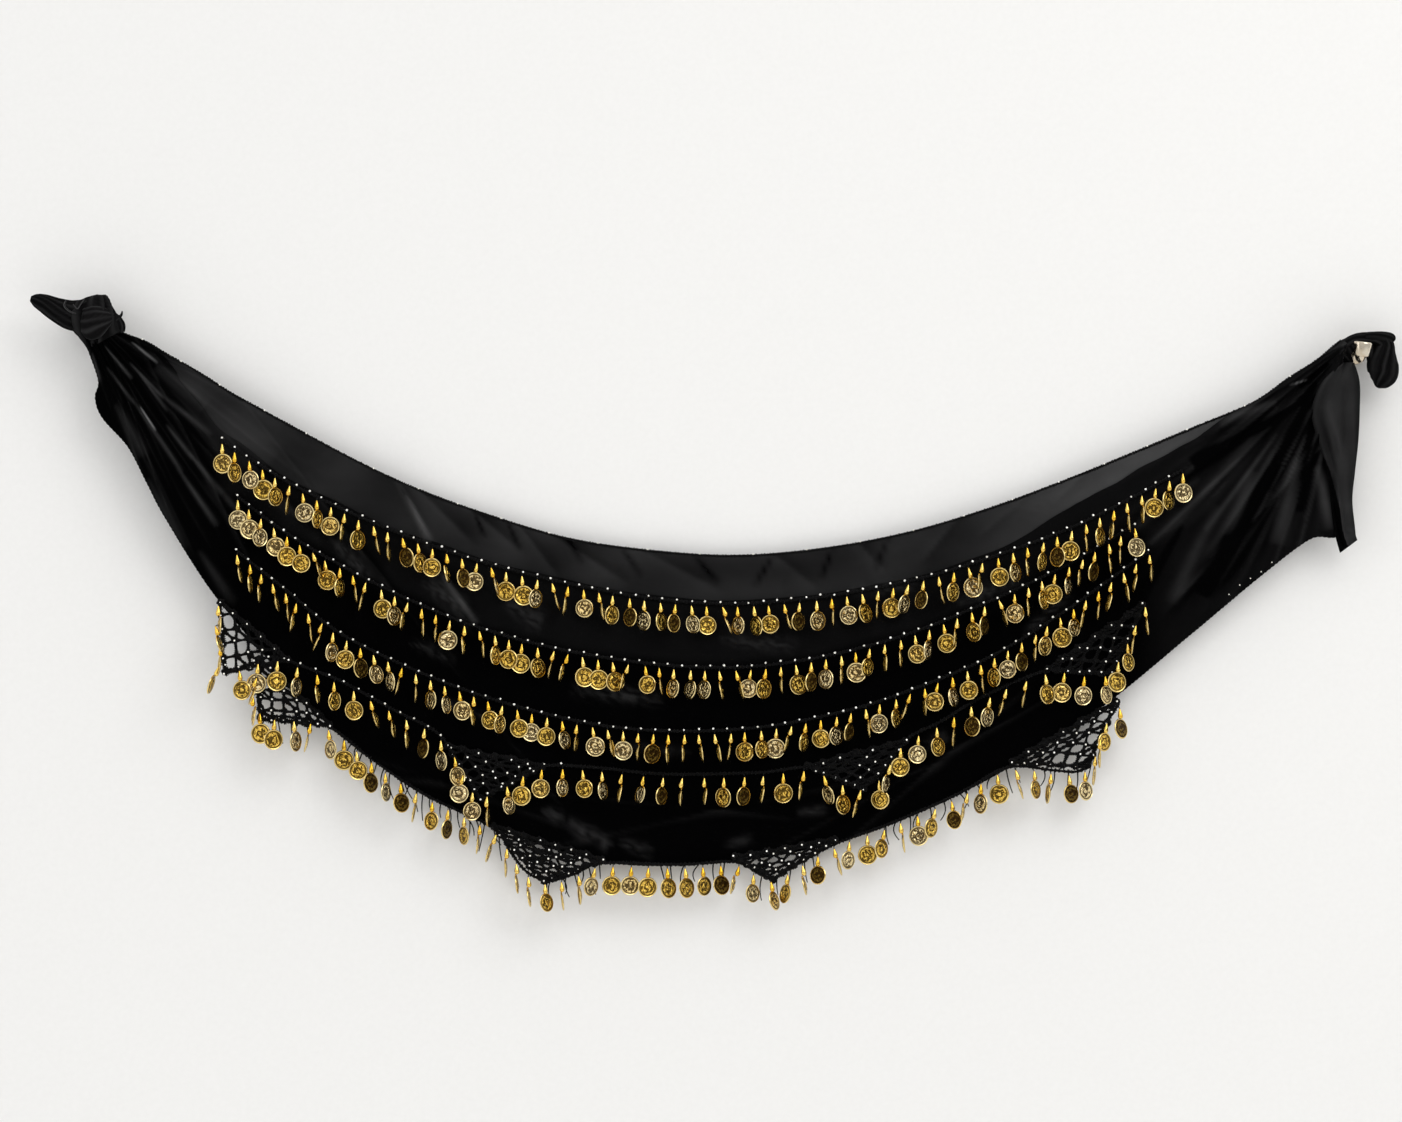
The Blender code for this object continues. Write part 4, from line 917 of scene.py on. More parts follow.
def add_shell(heap, front, back, uvs, tones):
    """A closed thin shell between two grids of points of one size."""
    columns, rows = front.shape[:2]
    offset = columns * rows
    faces = []
    for i in range(columns - 1):
        for j in range(rows - 1):
            a = i * rows + j
            faces.append((a, a + rows, a + rows + 1, a + 1))
            faces.append((a + offset, a + offset + 1, a + offset + rows + 1, a + offset + rows))
    rim = [i * rows for i in range(columns)]
    rim += [(columns - 1) * rows + j for j in range(1, rows)]
    rim += [i * rows + rows - 1 for i in range(columns - 2, -1, -1)]
    rim += [j for j in range(rows - 2, 0, -1)]
    for a, b in zip(rim, rim[1:] + rim[:1]):
        faces.append((b, a, a + offset, b + offset))
    points = np.concatenate([front.reshape(-1, 3), back.reshape(-1, 3)])
    flat = uvs.reshape(-1, 2)
    heap.add(points, faces, np.concatenate([flat, flat]), np.concatenate([tones.ravel(), tones.ravel()]))


def grid_shell(name, x, z, depth, tones, material):
    """A thin shell of cloth through a grid of places in millimetres."""
    front = np.stack([x, -depth, z], axis=-1) * MM
    back = front + np.array([0.0, CHIFFON_THICKNESS * MM, 0.0])
    step_down = np.linalg.norm(np.diff(front, axis=1, prepend=front[:, :1]), axis=2)
    step_along = np.linalg.norm(np.diff(front, axis=0, prepend=front[:1]), axis=2)
    uvs = np.stack([np.cumsum(step_along, axis=0), np.cumsum(step_down, axis=1)], axis=-1)
    heap = Heap()
    add_shell(heap, front, back, uvs, tones)
    return heap.piece(name, material, "sheer_black_cloth")


def below_top(at, distance):
    """The point that lies a distance below the top outline, square to it."""
    section = smooth_row(SECTIONS, at)
    ahead = smooth_row(SECTIONS, min(at + 0.1, len(SECTIONS) - 1))
    behind = smooth_row(SECTIONS, max(at - 0.1, 0))
    run = Vector((ahead.top_x - behind.top_x, ahead.top_z - behind.top_z)).normalized()
    return Vector((section.top_x + run.y * distance, section.top_z - run.x * distance))


def column_places(gathered_step):
    """Section numbers of the lines across the panel, which lie closest where the cloth is gathered."""
    places = []
    for number, (section, after) in enumerate(zip(SECTIONS, SECTIONS[1:])):
        length = math.hypot(after.hem_x - section.hem_x, after.hem_z - section.hem_z)
        open_cloth = OPEN_CLOTH_FROM < section.top_x < OPEN_CLOTH_TO
        count = max(round(length / (OPEN_STEP if open_cloth else gathered_step)), 4)
        places += [number + k / count for k in range(count)]
    return places + [len(SECTIONS) - 1.0]


def panel_columns(gathered_step):
    """The two ends of each line across the panel, from below the edging to the hem."""
    ends = []
    for at in column_places(gathered_step):
        section = smooth_row(SECTIONS, at)
        top = below_top(at, EDGING_ROOM)
        ends.append((top.x, top.y, section.hem_x, section.hem_z))
    return np.array(ends)


def down_columns(ends, share):
    """The places at a share of the way down each line across the panel."""
    x = ends[:, 0:1] + (ends[:, 2:3] - ends[:, 0:1]) * share
    z = ends[:, 1:2] + (ends[:, 3:4] - ends[:, 1:2]) * share
    return x, z


def make_panel(material):
    """The first layer of chiffon, from the edging down to the hem."""
    x, z = down_columns(panel_columns(GATHERED_STEP), np.linspace(0, 1, PANEL_ROWS + 1)[None, :])
    past_ends = np.maximum(x - OVERLAY_EDGE[-1].x, OVERLAY_EDGE[0].x - x)
    covered = np.clip((smooth_between(OVERLAY_EDGE, x) - z) / 10, 0.0, 1.0)
    covered = np.maximum(covered, np.clip(past_ends / 8, 0.0, 1.0))
    depth = chiffon_depth(x, z) - CHIFFON_THICKNESS - COVERED_BACK * covered
    return grid_shell("chiffon_panel", x, z, depth, cloth_tone(x, z, doubled=False), material)


def make_overlay(material):
    """The second layer of chiffon, from just above the first coin row down to the hem."""
    ends = panel_columns(OVERLAY_STEP)
    x, z = down_columns(ends, np.linspace(0, 1, OVERLAY_SEARCH_STEPS)[None, :])
    below = z < smooth_between(OVERLAY_EDGE, x)
    beyond = (x < OVERLAY_EDGE[0].x) | (x > OVERLAY_EDGE[-1].x)
    starts = smoothed(np.argmax(below | beyond, axis=1) / OVERLAY_SEARCH_STEPS, 6)[:, None]
    share = starts + (1 - starts) * np.linspace(0, 1, OVERLAY_ROWS + 1)[None, :]
    x, z = down_columns(ends, share)
    down = (share - starts) * np.linalg.norm(ends[:, 2:4] - ends[:, 0:2], axis=1)[:, None]
    lift = OVERLAY_EDGE_LIFT + (OVERLAY_LIFT - OVERLAY_EDGE_LIFT) * ease(down / OVERLAY_RAMP)
    ripple = 0.35 * np.sin(0.21 * x + 0.05 * z + 1.3 * np.sin(0.06 * z))
    depth = chiffon_depth(x, z) + lift + ripple * ease(down / 25)
    return grid_shell("chiffon_overlay", x, z, depth, cloth_tone(x, z, doubled=True), material)


def ring_frame(points, k):
    """Unit vectors along, aside and to the front at one point of a line."""
    along = (points[min(k + 1, len(points) - 1)] - points[max(k - 1, 0)]).normalized()
    aside = along.cross(Vector((0, -1, 0)))
    if aside.length < 0.1:
        aside = Vector((1, 0, 0))
    aside.normalize()
    return along, aside, aside.cross(along)


def ring_faces(rings, sides, flipped=False):
    """Faces of a closed body that is made of rings of points, with a cap at each end."""
    last = (rings - 1) * sides
    faces = [tuple(range(sides - 1, -1, -1)), tuple(range(last, last + sides))]
    if flipped:
        faces = [cap[::-1] for cap in faces]
    for ring in range(rings - 1):
        for k in range(sides):
            a = ring * sides + k
            b = ring * sides + (k + 1) % sides
            faces.append((a, a + sides, b + sides, b) if flipped else (a, b, b + sides, a + sides))
    return faces


def add_tube(heap, points, radii, sides, tint=0.5, around=0.0):
    """A closed tube along a line of points in metres; its radii are in millimetres."""
    rings = []
    uvs = []
    run = 0.0
    for k, point in enumerate(points):
        if k:
            run += (point - points[k - 1]).length
        _, aside, front = ring_frame(points, k)
        for side in range(sides):
            angle = math.tau * side / sides
            rings.append(point + (aside * math.cos(angle) + front * math.sin(angle)) * (radii[k] * MM))
            uvs.append((run, around + side / sides))
    heap.add(rings, ring_faces(len(points), sides), uvs, tint)


def add_twist(heap, points, radius, lay, sides=5, plies=2, swell=None):
    """Plies wound round a line of points, thicker where the line swells."""
    radii = [radius * (swell[k] if swell else 1.0) for k in range(len(points))]
    for ply in range(plies):
        line = []
        run = 0.0
        for k, point in enumerate(points):
            if k:
                run += (point - points[k - 1]).length / MM
            _, aside, front = ring_frame(points, k)
            angle = math.tau * (run / lay + ply / plies)
            reach = radii[k] * MM
            line.append(point + aside * (math.cos(angle) * reach) + front * (math.sin(angle) * reach))
        add_tube(heap, line, radii, sides, around=ply / plies)


def dense_line(rows, step):
    """Points in millimetres at a steady step along a smooth line, with the line's direction at each."""
    dense = []
    for i in range((len(rows) - 1) * LINE_STEPS + 1):
        row = smooth_row(rows, i / LINE_STEPS)
        dense.append(Vector((row.x, row.z)))
    lengths = [0.0]
    for a, b in zip(dense, dense[1:]):
        lengths.append(lengths[-1] + (b - a).length)
    count = max(round(lengths[-1] / step), 1)
    stops = []
    k = 0
    for i in range(count + 1):
        wanted = lengths[-1] * i / count
        while k < len(dense) - 2 and lengths[k + 1] < wanted:
            k += 1
        share = (wanted - lengths[k]) / (lengths[k + 1] - lengths[k])
        stops.append((dense[k].lerp(dense[k + 1], share), (dense[k + 1] - dense[k]).normalized()))
    return stops


def on_cloth(places, layer):
    """Places in millimetres laid on the cloth, as points in metres."""
    depths = np.array([front_of_cloth(place.x, place.y) + layer for place in places])
    return [metres(place.x, depth, place.y) for place, depth in zip(places, smoothed(depths, 4))]


def ridge(value, middle, half_width):
    """The height of a round ridge, 1 at its middle."""
    return math.exp(-(((value - middle) / half_width) ** 2))


def coin_height(radius, angle, petals, swirl):
    """How far the relief of a coin of radius 1 stands up: rim, inner ring, boss and a ring of petals."""
    height = 0.050 * ridge(radius, 0.925, 0.05) + 0.022 * ridge(radius, 0.74, 0.04)
    height += 0.030 * ridge(radius, 0.0, 0.16)
    petal = 0.5 + 0.5 * math.cos(petals * angle + swirl * radius * 5)
    return height + 0.036 * ridge(radius, 0.44, 0.17) * petal


def coin_form(petals, swirl):
    """One struck coin of radius 1: points, faces and flat places. Its front faces -Y."""
    half = COIN_THICKNESS / COIN_DIAMETER
    points = []
    flat = []
    for side, radii in ((-1, COIN_FRONT_RADII), (1, COIN_BACK_RADII)):
        for radius in radii:
            for k in range(COIN_SEGMENTS):
                angle = math.tau * k / COIN_SEGMENTS
                x = radius * math.cos(angle)
                z = radius * math.sin(angle)
                height = coin_height(radius, angle, petals, swirl) - (0.5 * half if radius > 0.99 else 0.0)
                points.append((x, side * (half * 0.55 + height), z))
                flat.append((x, z))
    faces = []
    for back, radii in enumerate((COIN_FRONT_RADII, COIN_BACK_RADII)):
        base = back * len(COIN_FRONT_RADII) * COIN_SEGMENTS
        for ring in range(len(radii) - 1):
            a = base + ring * COIN_SEGMENTS
            for k in range(COIN_SEGMENTS):
                n = (k + 1) % COIN_SEGMENTS
                quad = (a + k, a + n, a + COIN_SEGMENTS + n, a + COIN_SEGMENTS + k)
                faces.append(quad if back else quad[::-1])
        centre = len(points)
        points.append((0.0, (-1, 1)[back] * (half * 0.55 + 0.03), 0.0))
        flat.append((0.0, 0.0))
        for k in range(COIN_SEGMENTS):
            n = (k + 1) % COIN_SEGMENTS
            faces.append((centre, base + n, base + k) if back else (centre, base + k, base + n))
    front_edge = (len(COIN_FRONT_RADII) - 1) * COIN_SEGMENTS
    back_edge = (len(COIN_FRONT_RADII) + len(COIN_BACK_RADII) - 1) * COIN_SEGMENTS
    for k in range(COIN_SEGMENTS):
        n = (k + 1) % COIN_SEGMENTS
        faces.append((front_edge + k, front_edge + n, back_edge + n, back_edge + k))
    return np.array(points), faces, np.array(flat)


COIN_FORMS = [coin_form(6, 0.0), coin_form(3, 1.0), coin_form(8, 0.5), coin_form(2, 1.6)]

# Attitudes of a coin: the least and most angle that it is turned from facing the viewer. The rows list them
# from the left: face on, oblique, edge on and oblique in painted shade; a capital letter is a pale coin.
ATTITUDES = {"f": (0, 26), "o": (40, 66), "e": (82, 89), "d": (34, 64)}
HANGING = {
    "coins_row_1": "foFfoeFofeo" "eedofedFEffOeeFeodOodOf" "eOofedOeFoefOdeoFefOeodfeoeee",
    "coins_row_2": "FFOFffefoee" "fOeeeFeeoffoeefffefeOOOeeF" "oefdOeFoeefOfeodeFeofOedee",
    "coins_row_3": "eeeeeeee" "OfdOOeeOOFe" "fofFfOeFeFedeeeeef" "oFeofOdeFoeefOfeoFdeofOeeee",
    "coins_row_4": "eeeefFfO" "eofeeedOOFFe" "OffOf" "OeOdeeode" "feOoefOfFoedOeeofFOfoeed",
    "coins_hem": "eeffOeOffdOdeodo" "eeeeeoeeOfF" "fooodeOooedeOf" "oeFodeOfeoedOfeodeFoe",
}

CoinLook = namedtuple("CoinLook", "turn swing lean tint size form spin bow")


def turned(points, turn, swing, lean):
    """Points leant about X, turned about Z and swung about Y, in radians."""
    x, y, z = points[:, 0], points[:, 1], points[:, 2]
    y, z = y * math.cos(lean) - z * math.sin(lean), y * math.sin(lean) + z * math.cos(lean)
    x, y = x * math.cos(turn) - y * math.sin(turn), x * math.sin(turn) + y * math.cos(turn)
    x, z = x * math.cos(swing) - z * math.sin(swing), x * math.sin(swing) + z * math.cos(swing)
    return np.stack([x, y, z], axis=1)


def add_round(heap, centre, profile, sides, swing, tint):
    """A turned bead: its profile rows are distance down and radius, in millimetres."""
    points = []
    uvs = []
    for down, radius in profile:
        for k in range(sides):
            angle = math.tau * k / sides
            points.append((radius * math.cos(angle), radius * math.sin(angle), -down))
            uvs.append((down * MM, k / sides))
    placed = turned(np.array(points), 0.0, swing, 0.0) * MM + np.array(centre)
    heap.add(placed, ring_faces(len(profile), sides, flipped=True), uvs, tint)


def bead_profile(shape, length, width):
    return [(down * length, radius * width) for down, radius in shape]


def drop_profile(scale):
    return bead_profile(DROP_SHAPE, DROP_BEAD_LENGTH * scale, DROP_BEAD_WIDTH * scale / DROP_SHAPE_WIDTH)


def seed_profile(scale):
    return bead_profile(SEED_SHAPE, SEED_BEAD_WIDTH * scale, SEED_BEAD_WIDTH / 2 * scale)


def draw_look(letter, chance):
    """How one coin hangs and looks, drawn for its letter in the row."""
    kind = letter.lower()
    edge_on = kind == "e"
    turn = math.radians(chance.uniform(*ATTITUDES[kind]))
    swing = math.radians(chance.gauss(0, 9 if edge_on else 5))
    lean = math.radians(chance.uniform(-6, 3))
    tint = chance.uniform(*PALE_TINTS) if letter.isupper() else chance.uniform(*GOLD_TINTS)
    size = chance.uniform(0.95, 1.04)
    form = COIN_FORMS[chance.randrange(len(COIN_FORMS))]
    spin = chance.uniform(0, math.tau)
    bow = chance.uniform(0.10, 0.26) * chance.choice((-1, 1)) if edge_on else chance.uniform(-0.06, 0.10)
    return CoinLook(turn, swing, lean, TURNED_AWAY_TINT if kind == "d" else tint, size, form, spin, bow)


def add_coin(coins, centre, look, turn):
    """One coin: spun in its own plane, bowed a little and turned as it hangs."""
    points, faces, flat = look.form
    cos, sin = math.cos(look.spin), math.sin(look.spin)
    bowed = points[:, 1] + look.bow * (flat**2).sum(axis=1)
    spun_x = points[:, 0] * cos - points[:, 2] * sin
    spun_z = points[:, 0] * sin + points[:, 2] * cos
    spun_flat = np.stack([flat[:, 0] * cos - flat[:, 1] * sin, flat[:, 0] * sin + flat[:, 1] * cos], axis=1)
    spread = np.stack([spun_x, bowed, spun_z], axis=1) * (COIN_DIAMETER / 2) * look.size
    hung = turned(spread, turn, look.swing, look.lean) * MM
    coins.add(hung + np.array(centre), faces, spun_flat, look.tint)


def hang_coins(coin_row, seed, gilt, drops, threads):
    """The coins of one row, each on its drop bead; the beads and their threads go to other heaps."""
    chance = random.Random(seed)
    coins = Heap()
    letters = HANGING[coin_row.node]
    radius = COIN_DIAMETER / 2
    was_wide = False
    for number, (point, run) in enumerate(dense_line(coin_row.line, coin_row.coin_pitch)):
        look = draw_look(letters[number % len(letters)], chance)
        steep = abs(run.x) < STEEP_RUN
        turn = math.radians(STEEP_TURN) if steep else look.turn
        x = point.x + chance.gauss(0, 0.5) - (2.0 if steep and number % 2 else 0.0)
        out = COIN_STEP_OUT * (number % 2) if turn < 1.0 else 0.0
        out += STEEP_STEP_OUT * (number % 3) if steep else 0.0
        turn *= 1 if was_wide or chance.random() < 0.5 else -1
        was_wide = abs(turn) < 0.8
        top = point.y - BEAD_BELOW_CHAIN
        reach = front_of_cloth(x, top - 12) + coin_row.clearance + COIN_THICKNESS / 2
        depth = reach + out + abs(math.sin(turn)) * radius
        bead_top = metres(x, depth + 1.6, top)
        add_round(drops, bead_top, drop_profile(look.size), 9, look.swing, chance.random())
        root = metres(point.x, front_of_cloth(point.x, point.y) + CHAIN_LAYER, point.y - 0.4)
        add_tube(threads, [root, root.lerp(bead_top, 0.5), bead_top], [0.5, 0.42, 0.42], 5)
        fall = DROP_BEAD_LENGTH * look.size - BEAD_OVER_COIN + radius * look.size
        centre = metres(x + math.sin(look.swing) * fall, depth, top - math.cos(look.swing) * fall)
        add_coin(coins, centre, look, turn)
    piece = coins.piece(coin_row.node.replace("coins_", "struck_coins_"), gilt, "gold_coins")
    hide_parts(coin_row.node)
    return piece


def make_chain(coin_row, seed, thread, seeds):
    """The crocheted chain that a coin row hangs from, with its seed beads."""
    heap = Heap()
    line = dense_line(coin_row.line, 1.0)
    points = on_cloth([place for place, _ in line], CHAIN_LAYER)
    swell = [1.0 + 0.22 * math.sin(k * 1.9) + 0.1 * math.sin(k * 0.7) for k in range(len(points))]
    add_twist(heap, points, CHAIN_RADIUS, CHAIN_LAY, swell=swell)
    chance = random.Random(seed)
    for k in range(2, len(points) - 3, 3):
        along, aside, _ = ring_frame(points, k)
        side = aside if aside.z > 0 else -aside
        foot = points[k] + side * (CHAIN_RADIUS * MM)
        tip = foot + side * (chance.uniform(0.5, 1.3) * MM) + along * (chance.uniform(-0.5, 0.5) * MM)
        add_tube(heap, [foot, tip], [0.42, 0.3], 4)
    piece = heap.piece(coin_row.node.replace("coins_", "crochet_chain_"), thread, "black_crochet")
    for index, (place, _) in enumerate(dense_line(coin_row.line, coin_row.bead_pitch)):
        if index * coin_row.bead_pitch > coin_row.beads_until * len(line):
            break
        x = place.x + chance.gauss(0, 0.5)
        z = place.y + 1.1 + chance.gauss(0, 0.35)
        centre = metres(x, front_of_cloth(place.x, place.y) + CHAIN_LAYER + 1.1, z)
        profile = seed_profile(chance.uniform(0.85, 1.15))
        add_round(seeds, centre, profile, 6, chance.uniform(-1.2, 1.2), chance.random())
    return piece


def net_crossings(net, chance):
    """Where the threads of a net cross, a little uneven inside and less so along its borders."""
    apex = Vector((net.apex_x, net.apex_z))
    to_left = Vector((net.left_x, net.left_z)) - apex
    to_right = Vector((net.right_x, net.right_z)) - apex
    crossings = {}
    for i in range(net.mesh_rows + 1):
        for j in range(net.mesh_rows + 1 - i):
            drift = Vector((chance.gauss(0, 0.9), chance.gauss(0, 0.9)))
            if i == 0 or j == 0 or i + j == net.mesh_rows:
                drift *= 0.3
            crossings[i, j] = apex + to_left * (i / net.mesh_rows) + to_right * (j / net.mesh_rows) + drift
    return crossings


def make_net(net, thread, seeds, seed):
    """One crocheted net triangle: doubled threads along its meshes, knots and beads where they cross."""
    chance = random.Random(seed)
    heap = Heap()
    crossings = net_crossings(net, chance)
    web = [1.0 + 0.95 * abs(2 * k / NET_STEPS - 1) ** 1.6 for k in range(NET_STEPS + 1)]
    for (i, j), start in crossings.items():
        for step_i, step_j in ((1, 0), (0, 1), (1, -1)):
            end = crossings.get((i + step_i, j + step_j))
            border = i + j == net.mesh_rows
            if end is None or (step_j == -1 and not border and chance.random() < 0.4):
                continue
            sag = Vector((chance.uniform(-0.8, 0.8), chance.uniform(-1.0, 0.4)))
            shares = [k / NET_STEPS for k in range(NET_STEPS + 1)]
            line = [start.lerp(end, share) + sag * math.sin(math.pi * share) for share in shares]
            outer = (i == 0 and step_i == 0) or (j == 0 and step_j == 0) or (border and step_j == -1)
            radius = NET_THREAD_RADIUS * (NET_BORDER_SWELL if outer else 1.0)
            add_twist(heap, on_cloth(line, NET_LAYER + 0.6), radius, NET_LAY, sides=4, swell=web)
    for point in crossings.values():
        centre = metres(point.x, front_of_cloth(point.x, point.y) + NET_LAYER + 0.8, point.y)
        knot = bead_profile(SEED_SHAPE, KNOT_HEIGHT, KNOT_WIDTH / 2)
        add_round(heap, centre, knot, 7, chance.uniform(-1, 1), 0.5)
        if chance.random() < 0.72:
            bead = centre + Vector((chance.gauss(0, 0.4) * MM, -1.6 * MM, chance.gauss(0, 0.4) * MM))
            add_round(seeds, bead, seed_profile(1.0), 8, chance.uniform(-1.2, 1.2), chance.random())
    piece = heap.piece("crochet_" + net.name, thread, "black_crochet")
    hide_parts(net.name)
    return piece


def make_edging(thread, seeds):
    """The crocheted roll along the top edge, with a small bead now and then."""
    heap = Heap()
    count = (len(SECTIONS) - 1) * EDGE_STEPS
    line = []
    for i in range(20, count - 19):
        centre = below_top(i / EDGE_STEPS, EDGING_RADIUS)
        edge = below_top(i / EDGE_STEPS, EDGING_ROOM)
        line.append(metres(centre.x, depth_at(edge.x, edge.y) - 0.6, centre.y))
    even = [line[0]]
    for point in line:
        if (point - even[-1]).length > 0.8 * MM:
            even.append(point)
    swell = [1.0 + 0.16 * math.sin(k * 2.1) for k in range(len(even))]
    add_twist(heap, even, EDGING_RADIUS * 0.56, 4.2, swell=swell)
    chance = random.Random(31)
    for k in range(26, len(even) - 30, 37):
        centre = even[k] + Vector((0, -1.0, 1.0)) * MM
        add_round(seeds, centre, seed_profile(0.8), 8, chance.uniform(-1, 1), 0.9)
    piece = heap.piece("crochet_top_edging", thread, "black_crochet")
    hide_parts("top_edging")
    return piece

# Small beads on the rolled hem at its right
HEM_BEADS = rows_of(LinePoint, [(-96, -186), (-88, -179), (-80, -174), (-72, -169), (-64, -162)])


def make_rolled_hem(thread, seeds):
    """The narrow rolled hem down the left side, along the bottom and up the right side, with a few beads."""
    heap = Heap()
    even = []
    for i in range((len(SECTIONS) - 1) * EDGE_STEPS + 1):
        section = smooth_row(SECTIONS, i / EDGE_STEPS)
        point = metres(section.hem_x, depth_at(section.hem_x, section.hem_z) + 0.2, section.hem_z)
        if not even or (point - even[-1]).length > 1.2 * MM:
            even.append(point)
    add_twist(heap, even, HEM_RADIUS, 7.0)
    chance = random.Random(37)
    for place in HEM_BEADS:
        centre = metres(place.x, depth_at(place.x, place.z) + 2.2, place.z + 3)
        add_round(seeds, centre, seed_profile(0.6), 8, chance.uniform(-1, 1), 0.6)
    return heap.piece("rolled_hem", thread, "sheer_black_cloth")


def hem_height(x):
    """Height of the hem row at x."""
    return float(np.interp(x, [point.x for point in HEM_ROW], [point.z for point in HEM_ROW]))


def make_thread_ends(thread):
    """Loose thread ends that hang from the hem."""
    chance = random.Random(11)
    heap = Heap()
    shares = [step / TAIL_THREAD_STEPS for step in range(TAIL_THREAD_STEPS + 1)]
    radii = [TAIL_THREAD_RADIUS * (1 - 0.35 * share) for share in shares]
    for run in THREAD_RUNS:
        for k in range(run.count):
            x = run.from_x + (run.to_x - run.from_x) * (k + chance.uniform(0.2, 0.8)) / run.count
            z = hem_height(x)
            depth = front_of_cloth(x, z) + chance.uniform(0.4, 3.0)
            length = chance.uniform(9, 21)
            drift = chance.gauss(0, 3.4)
            curl = chance.gauss(0, 1.6)
            line = []
            for t in shares:
                aside = drift * t + curl * math.sin(3 * t)
                line.append(metres(x + aside, depth + 1.5 * math.sin(2.5 * t), z - length * t))
            add_tube(heap, line, radii, 4)
    return heap.piece("loose_thread_ends", thread, "black_crochet")

Roll = namedtuple("Roll", "rings pleats depth twist")


def add_gather(heap, roll, tone, phase, sides=64, per_section=7):
    """A gathered roll of cloth: rings with uneven sharp pleats, which drift round as they run along."""
    count = (len(roll.rings) - 1) * per_section
    sections = [smooth_row(roll.rings, i / per_section) for i in range(count + 1)]
    centres = [Vector((section.x, section.y, section.z)) for section in sections]
    points = []
    uvs = []
    tones = []
    run = 0.0
    for i, section in enumerate(sections):
        _, aside, front = ring_frame(centres, i)
        share = i / count
        if i:
            run += (centres[i] - centres[i - 1]).length
        for k in range(sides):
            angle = math.tau * k / sides
            drift = angle + roll.twist * share + phase + 0.25 * math.sin(5 * share + 2 * angle)
            wave = abs(math.sin(roll.pleats * drift / 2)) * 2 - 1
            wave += 0.5 * math.sin((roll.pleats + 3) * drift + 4 * share)
            wave += 0.3 * math.sin((2 * roll.pleats + 1) * drift)
            swell = 1 + roll.depth * (wave - 0.2)
            spread = aside * (max(section.half_width, 0.3) * math.cos(angle) * swell)
            deep = front * (max(section.half_depth, 0.3) * math.sin(angle) * swell)
            points.append((centres[i] + spread + deep) * MM)
            uvs.append((run * MM, k / sides * 0.05))
            # Painted light on the pleat crests and painted shade in the troughs.
            tones.append(tone * (0.35 + 0.9 * max(wave, 0.0)))
    heap.add(points, ring_faces(count + 1, sides), uvs, tones)


def make_gather(name, rolls, tone, material, *nodes):
    """One piece of gathered cloth, from one or more rolls."""
    heap = Heap()
    for index, roll in enumerate(rolls):
        add_gather(heap, roll, tone, index * 1.3)
    piece = heap.piece(name, material, "sheer_black_cloth")
    if nodes:
        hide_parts(*nodes)
    return piece


def loop_rings():
    """The turn of cloth round the left hook, whose two ends meet."""
    rings = []
    for k in range(13):
        angle = math.tau * k / 12
        x = LEFT_HOOK_X + KNOT_LOOP_RADIUS * math.cos(angle)
        z = LEFT_HOOK_Z + KNOT_LOOP_RADIUS * math.sin(angle)
        rings.append(Bunch(x, -KNOT_LOOP_DEPTH, z, KNOT_LOOP_THICKNESS, KNOT_LOOP_THICKNESS))
    return rings


def flap_crease_height(crease, across, down):
    """How far a crease lifts the flap: one that is nearly level runs across it, the others run down it."""
    level = abs(crease.end_down - crease.down) < 0.1
    if level:
        run = (across - crease.across) / (crease.end_across - crease.across)
    else:
        run = (down - crease.down) / (crease.end_down - crease.down)
    if not 0 < run < 1:
        return 0.0
    if level:
        aside = (down - crease.down - (crease.end_down - crease.down) * run) / (crease.half_width * 0.35)
    else:
        aside = (across - crease.across - (crease.end_across - crease.across) * run) / crease.half_width
    return crease.height * math.sin(math.pi * run) ** 0.5 * math.exp(-(aside**2))


def make_flap(material):
    """The fold of cloth that hangs beside the right hook, in front of the panel."""
    x = np.zeros((FLAP_ROWS + 1, FLAP_COLUMNS + 1))
    z = np.zeros_like(x)
    depth = np.zeros_like(x)
    tones = np.zeros_like(x)
    for i, down in enumerate(np.linspace(0, 1, FLAP_ROWS + 1)):
        row = smooth_row(FLAP, down * (len(FLAP) - 1))
        inner_share = FLAP_INNER_WIDTH / (row.right_x - row.left_x) * min(max((down - 0.42) / 0.25, 0.0), 1.0)
        for k, share in enumerate(np.linspace(0, 1, FLAP_COLUMNS + 1)):
            x[i, k] = row.left_x + (row.right_x - row.left_x) * share
            z[i, k] = row.z + FLAP_SLANT * share * max((down - 0.8) / 0.2, 0.0)
            creases = sum(flap_crease_height(crease, share, down) for crease in FLAP_CREASES)
            swell = row.swell * math.sin(math.pi * share) ** 0.7 + creases
            depth[i, k] = front_of_cloth(x[i, k], row.z) + FLAP_GAP + 1.4 + swell
            # Painted highlight along the turned edge, painted shade just inside it, and painted highlight on
            # crease crests.
            fold = ridge(share, 0.06, 0.05) - 0.6 * ridge(share, 0.2, 0.09)
            grain = 0.10 * math.sin(9 * down + 7 * share) * math.sin(23 * down - 5 * share)
            tones[i, k] = max(FLAP_TONE + 0.22 * fold + 0.12 * (swell - row.swell) + grain, 0.05)
            if share < inner_share:
                tones[i, k] = 0.0
                depth[i, k] -= FLAP_INNER_STEP
    return grid_shell("chiffon_flap", x, z, depth, tones, material)


